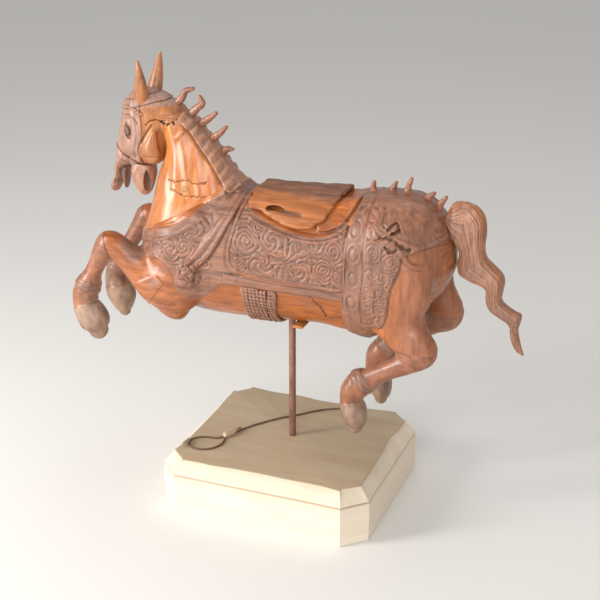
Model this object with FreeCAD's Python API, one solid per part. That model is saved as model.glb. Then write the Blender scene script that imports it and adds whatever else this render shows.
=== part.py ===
import FreeCAD, Part
import math
import os

# Carved wooden horse on a rod over a bevelled plinth. Millimetres, +Z up.
# The origin is the centre of the plinth's underside. The horse faces -X, its left side is -Y.
V = FreeCAD.Vector

# Plinth
PLINTH_LENGTH = 250.0
PLINTH_WIDTH = 225.0
LOWER_BOARD = 48.0
TOP_BOARD = 16.0
CANTED_CORNER = 25.0
BEVEL_INSET = 14.3
PLINTH_TOP = LOWER_BOARD + TOP_BOARD
SCREW_SHANK = 2.25
SCREW_HEAD = 4.5
SCREW_WELL = 2.0
SCREW_TIP = 58.0
SCREW_SPREAD = 0.6

# Rod, its two blind bores and the plate under the belly
ROD_RADIUS = 4.0
ROD_CLEARANCE = 0.05
ROD_FOOT = 20.0
ROD_TIP = 285.0
PLATE_X = (11.0, 23.0)
PLATE_HALF_WIDTH = 28.0
PLATE_UNDER = 214.0
PLATE_TOP = 217.2

# The planes that divide the body into blocks
CHEST_JOINT = -100.0
CROUP_JOINT = 77.0
CORE_HALF = 27.0
ELBOW_TOP = 262.0
NECK_SEAT = (-115.0, 337.0)
NECK_SEAT_TILT = 28.5
SEAT_LENGTH = 67.0
TAIL_SEAT_FOOT = 330.0
HEAD_JOINT = 426.0
SADDLE_X = (-42.0, 70.0)
SADDLE_HEM = 348.0
SADDLE_RISE = 9.0
SADDLE_SPREAD = 6.0
GIRTH_X = (-42.0, -7.0)
GIRTH_TOP = 252.0
GIRTH_BOTTOM = 207.0
GIRTH_SPREAD = 4.0

SHOULDER_Y = 39.0
FORE_Y = 41.0
HIND_Y = 40.0
BIG = 900.0

# Twine, its knot, bead and tassel
TWINE_RADIUS = 1.2
KNOT_RADIUS = 3.1
KNOT_AT = (-61.6, -15.0)
BEAD_RADIUS = 3.6
BEAD_FROM = (-64.5, -21.5)
BEAD_TO = (-71.5, -37.5)
TASSEL_ROOT = (-105.4, -60.0)
TASSEL_LENGTH = 17.0
TASSEL_RADII = (1.6, 4.2)

# Round plug let into the left of the neck, and the pegs: radius, half length
PLUG_AT = (-114.5, 360.0)
PLUG_RADIUS = 4.5
PLUG_REACH = (-36.0, -22.0)
NECK_DOWEL = (4.0, 20.0)
NECK_DOWEL_SPREAD = 28.0
HEAD_DOWEL = (4.0, 18.0)
BODY_DOWEL = (5.0, 24.0)
BODY_DOWEL_Y = 13.0
CHEST_DOWEL_Z = 300.0
CROUP_DOWEL_Z = 290.0
SIDE_DOWEL = (4.0, 11.0)
SHOULDER_DOWEL_AT = (-118.0, 276.0)
HAUNCH_DOWEL_X = 118.0
HAUNCH_DOWEL_Z = (272.0, 322.0)
ELBOW_DOWEL = (3.5, 14.0)
KNEE_DOWEL = (3.0, 9.0)
HOOF_DOWEL = (2.5, 8.0)
TAIL_DOWEL = (3.5, 13.0)
SADDLE_PEG_RADIUS = 3.0
SADDLE_PEG_LENGTH = 18.0
SADDLE_PEG_FOOT = 352.0
SADDLE_PEG_X = (-24.0, 30.0)
HEAD_NAIL = (0.9, 9.0)
HEAD_NAIL_X = (-144.0, -131.0)
HEAD_NAIL_Y = -16.0
ELBOW_NAIL = (0.9, 8.0)
ELBOW_NAIL_AT = (-146.0, 49.0, 244.0)
ELBOW_NAIL_SPREAD = 9.0

# Body sections along X: x, lowest z, highest z, half width
TRUNK = [(-176, 276, 292, 12), (-170, 264, 303, 24), (-158, 246, 318, 34), (-138, 230, 338, 42),
         (-110, 219, 352, 47), (-72, 217, 360, 50), (-30, 216, 364, 52), (17, 216, 365, 53),
         (60, 219, 366, 53), (95, 224, 371, 53), (130, 238, 373, 52), (155, 258, 365, 45),
         (172, 282, 350, 33), (183, 303, 328, 15)]

# Neck sections from the seat to the head joint: x, z, tilt, half depth, half width
NECK = [(-115, 337, 28.5, 64, 36), (-117, 356, 25, 53, 33), (-121, 380, 24, 41, 28.5),
        (-127, 402, 20, 32, 25), (-133, 418, 9, 27, 22.5), (-135, 426, 0, 26.5, 22)]

# Face below the head joint: z, front x, back x, half width
FACE = [(426, -203, -150, 22), (410, -206, -150, 22.5), (395, -209, -152, 21), (383, -211, -158, 18.5),
        (375, -213, -170, 16), (366, -214.5, -186, 14), (355, -217.5, -202, 12.5),
        (345, -220, -208, 11), (340, -219, -212, 7)]
SKULL = [(426, -203, -109, 22), (438, -200.5, -116, 22), (449, -195, -130, 20), (458, -186, -145, 16),
         (464, -178, -156, 9)]
JAW = [(-175, 379, 9, 10), (-178, 367, 12, 12), (-181.5, 354, 14, 11.5), (-182.5, 345, 10.5, 9),
       (-182.5, 339.5, 4, 5)]
EAR = [(-170, 455, 8.5, 6.5, 14), (-170.5, 468, 7.5, 5.5, 18), (-169.5, 483, 5, 4, 23),
       (-168, 499, 0.8, 0.8, 27)]
TAIL = [(177, 347, 11, 9), (186, 352.5, 15.5, 11), (197, 355, 17, 12), (204, 341, 14.5, 12),
        (204, 322, 14, 12), (210, 304, 15, 11), (223, 293, 11, 9.5), (229, 279, 8.5, 8.5),
        (234, 265, 8.5, 8), (246, 254, 7, 7), (253, 240, 6, 6), (258, 226, 5, 4.5), (263.5, 211, 1.2, 1.2)]

# Limb sections: x, z, half depth, half width. The first and last of each block lie on its joints
SHOULDER = [(300, -118, 30, 15), (270, -123, 31, 16), (246, -126, 28, 15), (229, -125, 22, 13),
            (217, -125, 13, 10), (210.5, -125, 4, 4)]
THIGH = [(126, 306, 40, 17), (130, 278, 41, 17.5), (137, 250, 30, 15), (150, 228, 23, 13),
         (161, 213, 19, 12)]
FAR_THIGH = [(126, 306, 40, 17), (134, 280, 41, 17.5), (146, 258, 31, 15), (158, 242, 25, 13),
             (167, 230, 21, 12)]
LEGS = {
    "fore_left": {
        "upper": [(-147, 242, 21, 13.4), (-164, 255, 19, 13.4), (-177, 269, 17, 13),
                  (-196, 284, 16.5, 13), (-209, 290, 14.5, 12.5)],
        "lower": [(-209, 290, 14.5, 12.5), (-217, 277, 11.5, 11), (-229, 255, 9.5, 10),
                  (-236, 241, 12.5, 11), (-240, 229, 17.5, 13)],
        "hoof": [(-240, 229, 17.5, 13), (-247, 215, 13.5, 10.5), (-237, 201, 21.5, 15), (-235, 186, 18, 15),
                 (-231, 170, 4.5, 5)]},
    "fore_right": {
        "upper": [(-145, 246, 21, 13.4), (-160, 263, 18.5, 13.4), (-176, 281, 16.5, 13),
                  (-191, 297, 15.5, 13), (-202, 300, 14, 12)],
        "lower": [(-202, 300, 14, 12), (-210, 286, 11.5, 11), (-226, 262, 10, 10),
                  (-240, 239, 10.5, 10), (-247, 222, 13.5, 12)],
        "hoof": [(-247, 222, 13.5, 12), (-249, 212, 14, 11), (-243, 201, 20.5, 15),
                 (-241, 185, 16, 14), (-239, 165, 4, 5)]},
    "hind_left": {
        "lower": [(161, 213, 19, 12), (146, 198, 11.5, 10.5), (127, 187, 11, 10), (111, 176, 11.5, 10.5),
                  (94, 166, 16, 12.5)],
        "hoof": [(94, 166, 16, 12.5), (86.5, 153, 15, 12.5), (86.5, 142, 12.5, 11), (90, 132, 15, 14.5),
                 (91.5, 119, 12.5, 13), (91, 107, 4, 5)]},
    "hind_right": {
        "lower": [(167, 230, 21, 12), (148, 213, 12.5, 11), (129, 200, 12, 10.5), (113, 187, 13, 11),
                  (98, 176, 17, 13)],
        "hoof": [(98, 176, 17, 13), (90, 160, 17, 13), (90, 146, 13, 11.5), (94, 132, 14, 14),
                 (95, 119, 11.5, 12.5), (95, 105.5, 4, 5)]}}
THIGHS = {"left": THIGH, "right": FAR_THIGH}
SIDE = {"left": -1.0, "right": 1.0}

# Little horns along the crest and the croup: points of each, from its foot to its tip
MANE_LOCKS = [[(-139, 446), (-130, 455), (-125, 463), (-117, 466)],
              [(-120, 437), (-111, 446), (-105, 452), (-109, 458)],
              [(-110, 427), (-99, 434), (-90, 441)],
              [(-98, 411), (-86, 419), (-77, 427)],
              [(-86, 395), (-77, 403), (-70, 402)]]
CROUP_SPIKES = [[(95, 367), (93, 375), (94, 382)],
                [(117, 369), (115, 379), (118, 386)],
                [(133, 368), (131, 379), (135, 391)],
                [(152, 362), (154, 373), (160, 379)],
                [(163, 354), (167, 368), (173, 376)]]
MANE_SIZE = (3.0, 2.4)
SPIKE_SIZE = (3.0, 2.2)

# Centre line of the twine on the plinth, hand laid
TWINE_RUN = [(31, 83), (16, 75.5), (1.5, 63), (-12, 47.5), (-27, 34.5), (-40, 18.5), (-51.5, 3.5),
             (-60, -11.5), (-64.5, -21.5)]
TWINE_LOOP = [(-73.1, -36.8), (-76.5, -42.5), (-88, -43), (-99, -46.5), (-106, -56), (-104, -67),
              (-94, -74.5), (-82, -73.5), (-72.5, -66), (-67.8, -56.5), (-67.3, -47), (-69.9, -38.2)]
TWINE_Z = PLINTH_TOP + TWINE_RADIUS

made = {}


def oval(centre, direction, depth, width, count=12):
    """Closed smooth wire round centre: depth along direction, width along Y."""
    points = []
    for i in range(count):
        a = 2 * math.pi * (i + 0.37) / count
        points.append(centre + direction * (depth * math.cos(a)) + V(0, width * math.sin(a), 0))
    curve = Part.BSplineCurve()
    curve.interpolate(Points=points, PeriodicFlag=True)
    return Part.Wire([curve.toShape()])


def solid_through(wires):
    return Part.makeLoft(wires, True)


def flat_sided(wires):
    return Part.makeLoft(wires, True, True)


def flat_direction(degrees):
    return V(math.cos(math.radians(degrees)), 0, math.sin(math.radians(degrees)))


def limb(stations, y, start=None, end=None):
    """Block that follows stations (x, z, half depth, half width) in a plane of constant y.
    start and end are the directions that its end faces lie along, where a neighbour sets them."""
    wires = []
    last = len(stations) - 1
    for i, (x, z, depth, width) in enumerate(stations):
        before = stations[max(i - 1, 0)]
        after = stations[min(i + 1, last)]
        along = V(after[0] - before[0], 0, after[1] - before[1]).normalize()
        across = V(-along.z, 0, along.x)
        if i == 0 and start is not None:
            across = start
        if i == last and end is not None:
            across = end
        wires.append(oval(V(x, y, z), across, depth, width))
    return solid_through(wires)


def foot_block(stations, y, start):
    """Pastern and hoof: level sections below a tilted joint face."""
    x, z, depth, width = stations[0]
    wires = [oval(V(x, y, z), start, depth, width)]
    for x, z, depth, width in stations[1:]:
        wires.append(oval(V(x, y, z), V(1, 0, 0), depth, width))
    return solid_through(wires)


def level_block(stations, y=0.0):
    """Block with level sections: z, centre x, half depth, half width."""
    return solid_through([oval(V(x, y, z), V(1, 0, 0), depth, width) for z, x, depth, width in stations])


def from_edges(stations):
    return [(z, (front + back) / 2, (back - front) / 2, width) for z, front, back, width in stations]


def box(x0, x1, y0, y1, z0, z1):
    return Part.makeBox(x1 - x0, y1 - y0, z1 - z0, V(x0, y0, z0))


def half_space(point, normal):
    """Everything on the side of the plane that normal points to."""
    cube = Part.makeBox(BIG, BIG, BIG, V(-BIG / 2, -BIG / 2, 0))
    cube.Placement = FreeCAD.Placement(point, FreeCAD.Rotation(V(0, 0, 1), normal))
    return cube


def peg(middle, direction, radius, half_length):
    direction = V(direction).normalize()
    return Part.makeCylinder(radius, 2 * half_length, middle - direction * half_length, direction)


def bisector(first, second):
    """Direction of the face where two runs of stations meet."""
    a, b = first[-2], first[-1]
    c = second[1]
    one = V(b[0] - a[0], 0, b[1] - a[1]).normalize()
    two = V(c[0] - b[0], 0, c[1] - b[1]).normalize()
    along = (one + two).normalize()
    return V(-along.z, 0, along.x)


def rope(points, z, radius):
    """Tube of straight runs joined by tangent arcs through a level route."""
    corners = [V(x, y, z) for x, y in points]
    edges = []
    here = corners[0]
    radii = []
    for i in range(1, len(corners) - 1):
        back = corners[i - 1] - corners[i]
        on = corners[i + 1] - corners[i]
        reach = 0.45 * min(back.Length, on.Length)
        turn = math.pi - back.getAngle(on)
        radii.append(reach / math.tan(turn / 2))
        enter = corners[i] + V(back).normalize() * reach
        leave = corners[i] + V(on).normalize() * reach
        middle_way = (V(back).normalize() + V(on).normalize()).normalize()
        to_centre = radii[-1] / math.cos(turn / 2)
        crown = corners[i] + middle_way * (to_centre - radii[-1])
        edges.append(Part.LineSegment(here, enter).toShape())
        edges.append(Part.Arc(enter, crown, leave).toShape())
        here = leave
    edges.append(Part.LineSegment(here, corners[-1]).toShape())
    path = Part.Wire(edges)
    start = Part.Circle(corners[0], corners[1] - corners[0], radius)
    tube = path.makePipeShell([Part.Wire([start.toShape()])], True, False)
    expected = math.pi * radius ** 2 * path.Length
    print("twine: length %.1f, radii %s, volume %.4f of section times length"
          % (path.Length, [round(r, 1) for r in radii], tube.Volume / expected))
    return tube


def octagon(half_x, half_y, corner, z):
    """Level outline of a rectangle with its four corners cut off."""
    quarter = [(half_x, half_y - corner), (half_x - corner, half_y)]
    mirrored = [(-x, y) for x, y in reversed(quarter)]
    points = quarter + mirrored + [(-x, -y) for x, y in quarter + mirrored]
    return Part.makePolygon([V(x, y, z) for x, y in points + points[:1]])


def build_plinth():
    half_x = PLINTH_LENGTH / 2
    half_y = PLINTH_WIDTH / 2
    inner_corner = CANTED_CORNER - BEVEL_INSET * (2 - math.sqrt(2))
    foot = octagon(half_x, half_y, CANTED_CORNER, 0)
    shoulder = octagon(half_x, half_y, CANTED_CORNER, LOWER_BOARD)
    crown = octagon(half_x - BEVEL_INSET, half_y - BEVEL_INSET, inner_corner, PLINTH_TOP)
    lower = flat_sided([foot, shoulder])
    upper = flat_sided([shoulder, crown])
    bore = Part.makeCylinder(ROD_RADIUS + ROD_CLEARANCE, BIG, V(0, 0, ROD_FOOT))
    screws = []
    for side_x in (-1, 1):
        for side_y in (-1, 1):
            at = V(side_x * half_x * SCREW_SPREAD, side_y * half_y * SCREW_SPREAD, 0)
            neck = SCREW_WELL + SCREW_HEAD - SCREW_SHANK
            shank = Part.makeCylinder(SCREW_SHANK, SCREW_TIP - neck, at + V(0, 0, neck))
            head = Part.makeCone(SCREW_HEAD, SCREW_SHANK, neck - SCREW_WELL, at + V(0, 0, SCREW_WELL))
            screws.append(shank.fuse(head).removeSplitter())
            lower = lower.cut(Part.makeCylinder(SCREW_HEAD, SCREW_WELL, at))
    screws = Part.makeCompound(screws)
    made["plinth_lower_board"] = lower.cut(screws).cut(bore)
    made["plinth_top_board"] = upper.cut(screws).cut(bore)
    made["plinth_screws"] = screws


def build_rod():
    rod = Part.makeCylinder(ROD_RADIUS, ROD_TIP - ROD_FOOT, V(0, 0, ROD_FOOT))
    made["support_rod"] = rod


def build_twine():
    made["twine_run"] = rope(TWINE_RUN, TWINE_Z, TWINE_RADIUS)
    made["twine_loop"] = rope(TWINE_LOOP, TWINE_Z, TWINE_RADIUS)
    made["twine_knot"] = Part.makeSphere(KNOT_RADIUS, V(*KNOT_AT, PLINTH_TOP + KNOT_RADIUS))
    start = V(*BEAD_FROM, PLINTH_TOP + BEAD_RADIUS)
    run = V(*BEAD_TO, PLINTH_TOP + BEAD_RADIUS) - start
    made["twine_bead"] = Part.makeCylinder(BEAD_RADIUS, run.Length, start, run)
    root = V(*TASSEL_ROOT, PLINTH_TOP + TASSEL_RADII[1] + 0.2)
    made["twine_tassel"] = Part.makeCone(*TASSEL_RADII, TASSEL_LENGTH, root, V(0, -1, 0))


def barrel_shape(stations):
    wires = []
    for x, low, high, width in stations:
        wires.append(oval(V(x, 0, (low + high) / 2), V(0, 0, 1), (high - low) / 2, width))
    return solid_through(wires)


def seat_frame():
    """The neck's seat on the body: a point on it, its normal and its uphill direction."""
    tilt = math.radians(NECK_SEAT_TILT)
    point = V(NECK_SEAT[0], 0, NECK_SEAT[1])
    return point, V(-math.sin(tilt), 0, math.cos(tilt)), V(math.cos(tilt), 0, math.sin(tilt))


def elbow_plane(leg):
    first, second = leg["upper"][0], leg["upper"][1]
    return V(first[0], 0, first[1]), V(second[0] - first[0], 0, second[1] - first[1]).normalize()


def side_of(sign):
    """Everything outside the core on one side."""
    if sign < 0:
        return box(-BIG, BIG, -BIG, -CORE_HALF, 0, BIG)
    return box(-BIG, BIG, CORE_HALF, BIG, 0, BIG)


def build_body():
    trunk = barrel_shape(TRUNK)
    point, normal, uphill = seat_frame()
    behind_neck = NECK_SEAT[0] + SEAT_LENGTH * uphill.x
    seated = trunk.cut(half_space(point, normal).common(box(-BIG, behind_neck, -BIG, BIG, 0, BIG)))
    front = box(-BIG, CHEST_JOINT, -BIG, BIG, 0, BIG)
    rear = box(CROUP_JOINT, BIG, -BIG, BIG, 0, BIG)
    core = box(-BIG, BIG, -CORE_HALF, CORE_HALF, 0, BIG)
    middle = box(CHEST_JOINT, CROUP_JOINT, -BIG, BIG, 0, BIG)
    socket = Part.makeCylinder(ROD_RADIUS + ROD_CLEARANCE, ROD_TIP, V(0, 0, 0))
    recess = box(PLATE_X[0], PLATE_X[1], -PLATE_HALF_WIDTH, PLATE_HALF_WIDTH, 0, PLATE_TOP)
    made["belly_plate"] = recess.common(box(-BIG, BIG, -BIG, BIG, PLATE_UNDER, BIG))
    made["barrel"] = seated.common(middle).cut(socket).cut(recess)
    made["chest_core"] = seated.common(front).common(core)
    made["croup_core"] = trunk.common(rear).common(core)
    for side, sign in SIDE.items():
        outside = side_of(sign)
        elbow, along = elbow_plane(LEGS["fore_" + side])
        bulge = level_block(SHOULDER, sign * SHOULDER_Y).common(outside).common(front)
        shoulder = seated.common(front).common(outside).fuse(bulge).removeSplitter()
        under_chest = box(-BIG, CHEST_JOINT, -BIG, BIG, 0, ELBOW_TOP)
        made["shoulder_" + side] = shoulder.cut(half_space(elbow, along).common(under_chest))
        end = bisector(THIGHS[side], LEGS["hind_" + side]["lower"])
        leg = limb(THIGHS[side], sign * HIND_Y, end=end).common(outside)
        made["haunch_" + side] = trunk.common(rear).common(outside).fuse(leg).removeSplitter()
    build_neck(trunk)
    build_saddle(trunk)


def build_neck(trunk):
    wires = [oval(V(x, 0, z), flat_direction(tilt), depth, width) for x, z, tilt, depth, width in NECK]
    neck = solid_through(wires)
    face = level_block(from_edges(FACE))
    skull = level_block(from_edges(SKULL))
    head = face.fuse(skull).removeSplitter()
    point, normal, uphill = seat_frame()
    neck = neck.cut(half_space(point, normal * -1)).cut(head)
    plug_from = V(PLUG_AT[0], PLUG_REACH[0], PLUG_AT[1])
    plug = Part.makeCylinder(PLUG_RADIUS, PLUG_REACH[1] - PLUG_REACH[0], plug_from, V(0, 1, 0))
    made["neck_plug"] = plug.common(neck)
    made["neck"] = neck.cut(plug)
    jaw = limb(JAW, 0)
    made["lower_jaw"] = jaw.cut(head).cut(neck)
    for side, sign in SIDE.items():
        wires = [oval(V(x, sign * y, z), V(1, 0, 0), depth, width) for x, z, depth, width, y in EAR]
        made["ear_" + side] = solid_through(wires).cut(skull)
    made["head"] = head
    made["mane_locks"] = horns(MANE_LOCKS, *MANE_SIZE).cut(neck.fuse(head))
    made["croup_spikes"] = horns(CROUP_SPIKES, *SPIKE_SIZE).cut(trunk)
    made["tail"] = limb(TAIL, 0)
    root = V(TAIL[0][0], 0, TAIL[0][1])
    seat = half_space(root, V(TAIL[1][0], 0, TAIL[1][1]) - root)
    above_root = box(CROUP_JOINT, BIG, -CORE_HALF, CORE_HALF, TAIL_SEAT_FOOT, BIG)
    made["croup_core"] = made["croup_core"].cut(seat.common(above_root))


def horns(rows, foot, width):
    """Small curved horns that taper from foot, each its own solid."""
    pieces = []
    for row in rows:
        stations = []
        for i, (x, z) in enumerate(row):
            along = i / (len(row) - 1)
            stations.append((x, z, foot * (1 - 0.55 * along), width * (1 - 0.4 * along)))
        pieces.append(limb(stations, 0))
    return Part.makeCompound(pieces)


def build_saddle(trunk):
    shell = barrel_shape([(x, low, high + SADDLE_RISE, width + SADDLE_SPREAD)
                          for x, low, high, width in TRUNK[5:11]])
    made["saddle_seat"] = shell.common(box(*SADDLE_X, -BIG, BIG, SADDLE_HEM, BIG)).cut(trunk)
    band = barrel_shape([(x, GIRTH_BOTTOM, high, width + GIRTH_SPREAD)
                         for x, low, high, width in TRUNK[4:9]])
    made["girth_block"] = band.common(box(*GIRTH_X, -BIG, BIG, 0, GIRTH_TOP)).cut(trunk)


def leg_plane(name):
    """The y at which a leg's centre line lies."""
    end, side = name.split("_")
    return SIDE[side] * (FORE_Y if end == "fore" else HIND_Y)


def build_legs():
    for name, leg in LEGS.items():
        end, side = name.split("_")
        y = leg_plane(name)
        if end == "fore":
            knee = bisector(leg["upper"], leg["lower"])
            made["forearm_" + side] = limb(leg["upper"], y, end=knee)
            made["shoulder_" + side] = made["shoulder_" + side].cut(made["forearm_" + side])
        else:
            knee = bisector(THIGHS[side], leg["lower"])
        fetlock = bisector(leg["lower"], leg["hoof"])
        made["%s_cannon_%s" % (end, side)] = limb(leg["lower"], y, start=knee, end=fetlock)
        made["%s_hoof_%s" % (end, side)] = foot_block(leg["hoof"], y, fetlock)


def fit(node, pegs, hosts):
    """Adds a node of pegs and sinks them into the blocks that they join."""
    pegs = Part.makeCompound(pegs)
    made[node] = pegs
    for host in hosts:
        made[host] = made[host].cut(pegs)


def first_step(stations):
    """Start of a run of stations, and the direction that it sets off in."""
    start = V(stations[0][0], 0, stations[0][1])
    return start, V(stations[1][0], 0, stations[1][1]) - start


def mirrored_pegs(x, z, size):
    return [peg(V(x, side * CORE_HALF, z), V(0, 1, 0), *size) for side in (-1, 1)]


def build_body_pegs():
    seat, normal, uphill = seat_frame()
    pegs = [peg(seat + uphill * d, normal, *NECK_DOWEL) for d in (-NECK_DOWEL_SPREAD, NECK_DOWEL_SPREAD)]
    fit("neck_dowels", pegs, ["neck", "chest_core", "barrel"])
    fit("head_dowel", [peg(V(NECK[-1][0], 0, HEAD_JOINT), V(0, 0, 1), *HEAD_DOWEL)], ["head", "neck"])
    pair = (-BODY_DOWEL_Y, BODY_DOWEL_Y)
    pegs = [peg(V(CHEST_JOINT, y, CHEST_DOWEL_Z), V(1, 0, 0), *BODY_DOWEL) for y in pair]
    fit("chest_dowels", pegs, ["chest_core", "barrel"])
    pegs = [peg(V(CROUP_JOINT, y, CROUP_DOWEL_Z), V(1, 0, 0), *BODY_DOWEL) for y in pair]
    fit("croup_dowels", pegs, ["croup_core", "barrel"])
    fit("shoulder_dowels", mirrored_pegs(*SHOULDER_DOWEL_AT, SIDE_DOWEL),
        ["chest_core", "shoulder_left", "shoulder_right"])
    pegs = [pin for z in HAUNCH_DOWEL_Z for pin in mirrored_pegs(HAUNCH_DOWEL_X, z, SIDE_DOWEL)]
    fit("haunch_dowels", pegs, ["croup_core", "haunch_left", "haunch_right"])
    fit("tail_dowel", [peg(first_step(TAIL)[0], V(1, 0, 0.3), *TAIL_DOWEL)], ["tail", "croup_core"])
    feet = [V(x, 0, SADDLE_PEG_FOOT) for x in SADDLE_PEG_X]
    pegs = [Part.makeCylinder(SADDLE_PEG_RADIUS, SADDLE_PEG_LENGTH, foot) for foot in feet]
    fit("saddle_pegs", pegs, ["saddle_seat", "barrel"])


def build_leg_pegs():
    elbows = []
    knees = []
    hooves = []
    for name, leg in LEGS.items():
        across = V(0, leg_plane(name), 0)
        if "upper" in leg:
            elbow, along = elbow_plane(leg)
            elbows.append(peg(elbow + across, along, *ELBOW_DOWEL))
        knee, along = first_step(leg["lower"])
        knees.append(peg(knee + across, along, *KNEE_DOWEL))
        fetlock, along = first_step(leg["hoof"])
        hooves.append(peg(fetlock + across, along, *HOOF_DOWEL))
    cannons = ["%s_cannon_%s" % (end, side) for end in ("fore", "hind") for side in SIDE]
    uppers = ["forearm_" + side for side in SIDE]
    shoulders = ["shoulder_" + side for side in SIDE]
    fit("elbow_dowels", elbows, uppers + shoulders)
    fit("knee_and_hock_dowels", knees, uppers + cannons + ["haunch_" + side for side in SIDE])
    fit("hoof_dowels", hooves, cannons + [name.replace("cannon", "hoof") for name in cannons])


def build_nails():
    pegs = [peg(V(x, HEAD_NAIL_Y, HEAD_JOINT), V(0.1, 0.6, -0.8), *HEAD_NAIL) for x in HEAD_NAIL_X]
    fit("head_nails", pegs, ["head", "neck"])
    x, y, z = ELBOW_NAIL_AT
    pegs = []
    for side in SIDE.values():
        for lift in (-ELBOW_NAIL_SPREAD, ELBOW_NAIL_SPREAD):
            pegs.append(peg(V(x, side * y, z + lift), V(0.8, 0, -0.5), *ELBOW_NAIL))
    fit("elbow_nails", pegs, [block + side for block in ("forearm_", "shoulder_") for side in SIDE])


def write_parts():
    os.makedirs("parts", exist_ok=True)
    for name, shape in made.items():
        facts = (name, len(shape.Solids), shape.Volume, shape.isValid())
        print("%-22s solids %d volume %9.1f valid %s" % facts)
        shape.exportStep("parts/%s.step" % name)


build_plinth()
build_rod()
build_twine()
build_body()
build_legs()
build_body_pegs()
build_leg_pegs()
build_nails()
write_parts()
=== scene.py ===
import math

import bmesh
import bpy
import numpy as np
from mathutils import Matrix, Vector


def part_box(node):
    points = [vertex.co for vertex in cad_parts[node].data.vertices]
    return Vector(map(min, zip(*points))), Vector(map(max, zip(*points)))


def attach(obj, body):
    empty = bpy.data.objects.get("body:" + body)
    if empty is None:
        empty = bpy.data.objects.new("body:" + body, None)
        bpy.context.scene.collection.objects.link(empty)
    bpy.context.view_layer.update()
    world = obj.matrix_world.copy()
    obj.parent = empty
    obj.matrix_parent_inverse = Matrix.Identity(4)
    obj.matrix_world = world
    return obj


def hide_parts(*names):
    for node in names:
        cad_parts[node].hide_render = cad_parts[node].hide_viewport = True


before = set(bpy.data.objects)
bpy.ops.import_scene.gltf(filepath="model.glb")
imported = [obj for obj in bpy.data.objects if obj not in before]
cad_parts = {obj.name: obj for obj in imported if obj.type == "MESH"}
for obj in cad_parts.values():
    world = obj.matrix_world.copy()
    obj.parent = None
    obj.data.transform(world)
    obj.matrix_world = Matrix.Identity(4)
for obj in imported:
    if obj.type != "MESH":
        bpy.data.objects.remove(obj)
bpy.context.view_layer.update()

# The horse is sculpted in millimetres as a field that is negative inside the wood, and each
# block is cut from it along the joint planes of the CAD blocks. It faces -X; its left is -Y.
MM = 0.001
VOXEL = 1.0

CHEST_JOINT = -100.0
CROUP_JOINT = 77.0
CORE_HALF = 27.0
NECK_SEAT = (-115.0, 337.0)
NECK_SEAT_TILT = math.radians(28.5)
FORE_Y = 41.0
HIND_Y = 40.0
# How far leg blocks reach into each other at a joint, and the neck into its seat
SEAM_LAP = 3.0
NECK_LAP = 2.0
# Edge of the cube of random numbers that all bumps are read from
RNG_CELLS = 32
LEAF_FINENESS = 1.25

# ---------------------------------------------------------------- camera

CAMERA_AZIMUTH = math.radians(21.48)
CAMERA_ELEVATION = math.radians(22.16)
CAMERA_AIM = Vector((0.0093, 0.0, 0.2365))
CAMERA_DISTANCE = 1.448
CAMERA_LENS = 77.31


def make_camera():
    data = bpy.data.cameras.new("camera")
    data.lens = CAMERA_LENS
    data.sensor_width = 36.0
    camera = bpy.data.objects.new("camera", data)
    level = math.cos(CAMERA_ELEVATION)
    back = Vector((math.sin(CAMERA_AZIMUTH) * level, -math.cos(CAMERA_AZIMUTH) * level,
                   math.sin(CAMERA_ELEVATION)))
    camera.location = CAMERA_AIM + back * CAMERA_DISTANCE
    camera.rotation_euler = back.to_track_quat("Z", "Y").to_euler()
    bpy.context.scene.collection.objects.link(camera)
    bpy.context.scene.camera = camera


make_camera()

# ---------------------------------------------------------------- cords

TWINE_RUN = [(0.031, 0.083, 0.0652), (0.016, 0.0755, 0.0652), (0.0015, 0.063, 0.0652),
             (-0.012, 0.0475, 0.0652), (-0.027, 0.0345, 0.0652), (-0.040, 0.0185, 0.0652),
             (-0.0515, 0.0035, 0.0652), (-0.060, -0.0115, 0.0652), (-0.0645, -0.0215, 0.0652)]
TWINE_LOOP = [(-0.0731, -0.0368, 0.0652), (-0.0765, -0.0425, 0.0652), (-0.088, -0.043, 0.0652),
              (-0.099, -0.0465, 0.0652), (-0.106, -0.056, 0.0652), (-0.104, -0.067, 0.0652),
              (-0.094, -0.0745, 0.0652), (-0.082, -0.0735, 0.0652), (-0.0725, -0.066, 0.0652),
              (-0.0678, -0.0565, 0.0652), (-0.0673, -0.047, 0.0652), (-0.0699, -0.0382, 0.0652)]
TWINE_RADIUS = 0.0012
TWINE_PITCH = 0.0075
PLIES = 3
KNOT_AT = Vector((-0.0616, -0.015, 0.0671))
BEAD_FROM = Vector((-0.0645, -0.0215, 0.0676))
BEAD_TO = Vector((-0.0715, -0.0375, 0.0676))
BEAD_RADIUS = 0.0036
BEAD_PROFILE = [(0.0, 0.55), (0.02, 0.80), (0.08, 0.94), (0.2, 0.99), (0.5, 1.0), (0.8, 0.99), (0.92, 0.94),
                (0.98, 0.80), (1.0, 0.55)]
KNOT_TURNS = ((0.35, 1.0), (-0.4, 0.92), (1.35, 0.8))
KNOT_RADIUS = 0.0019
KNOT_CORD = 0.00105
TASSEL_AT = Vector((-0.1054, -0.060, 0.0684))
TASSEL_LENGTH = 0.017
TASSEL_SPREAD = 0.0040
TASSEL_FIBRES = 46


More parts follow.
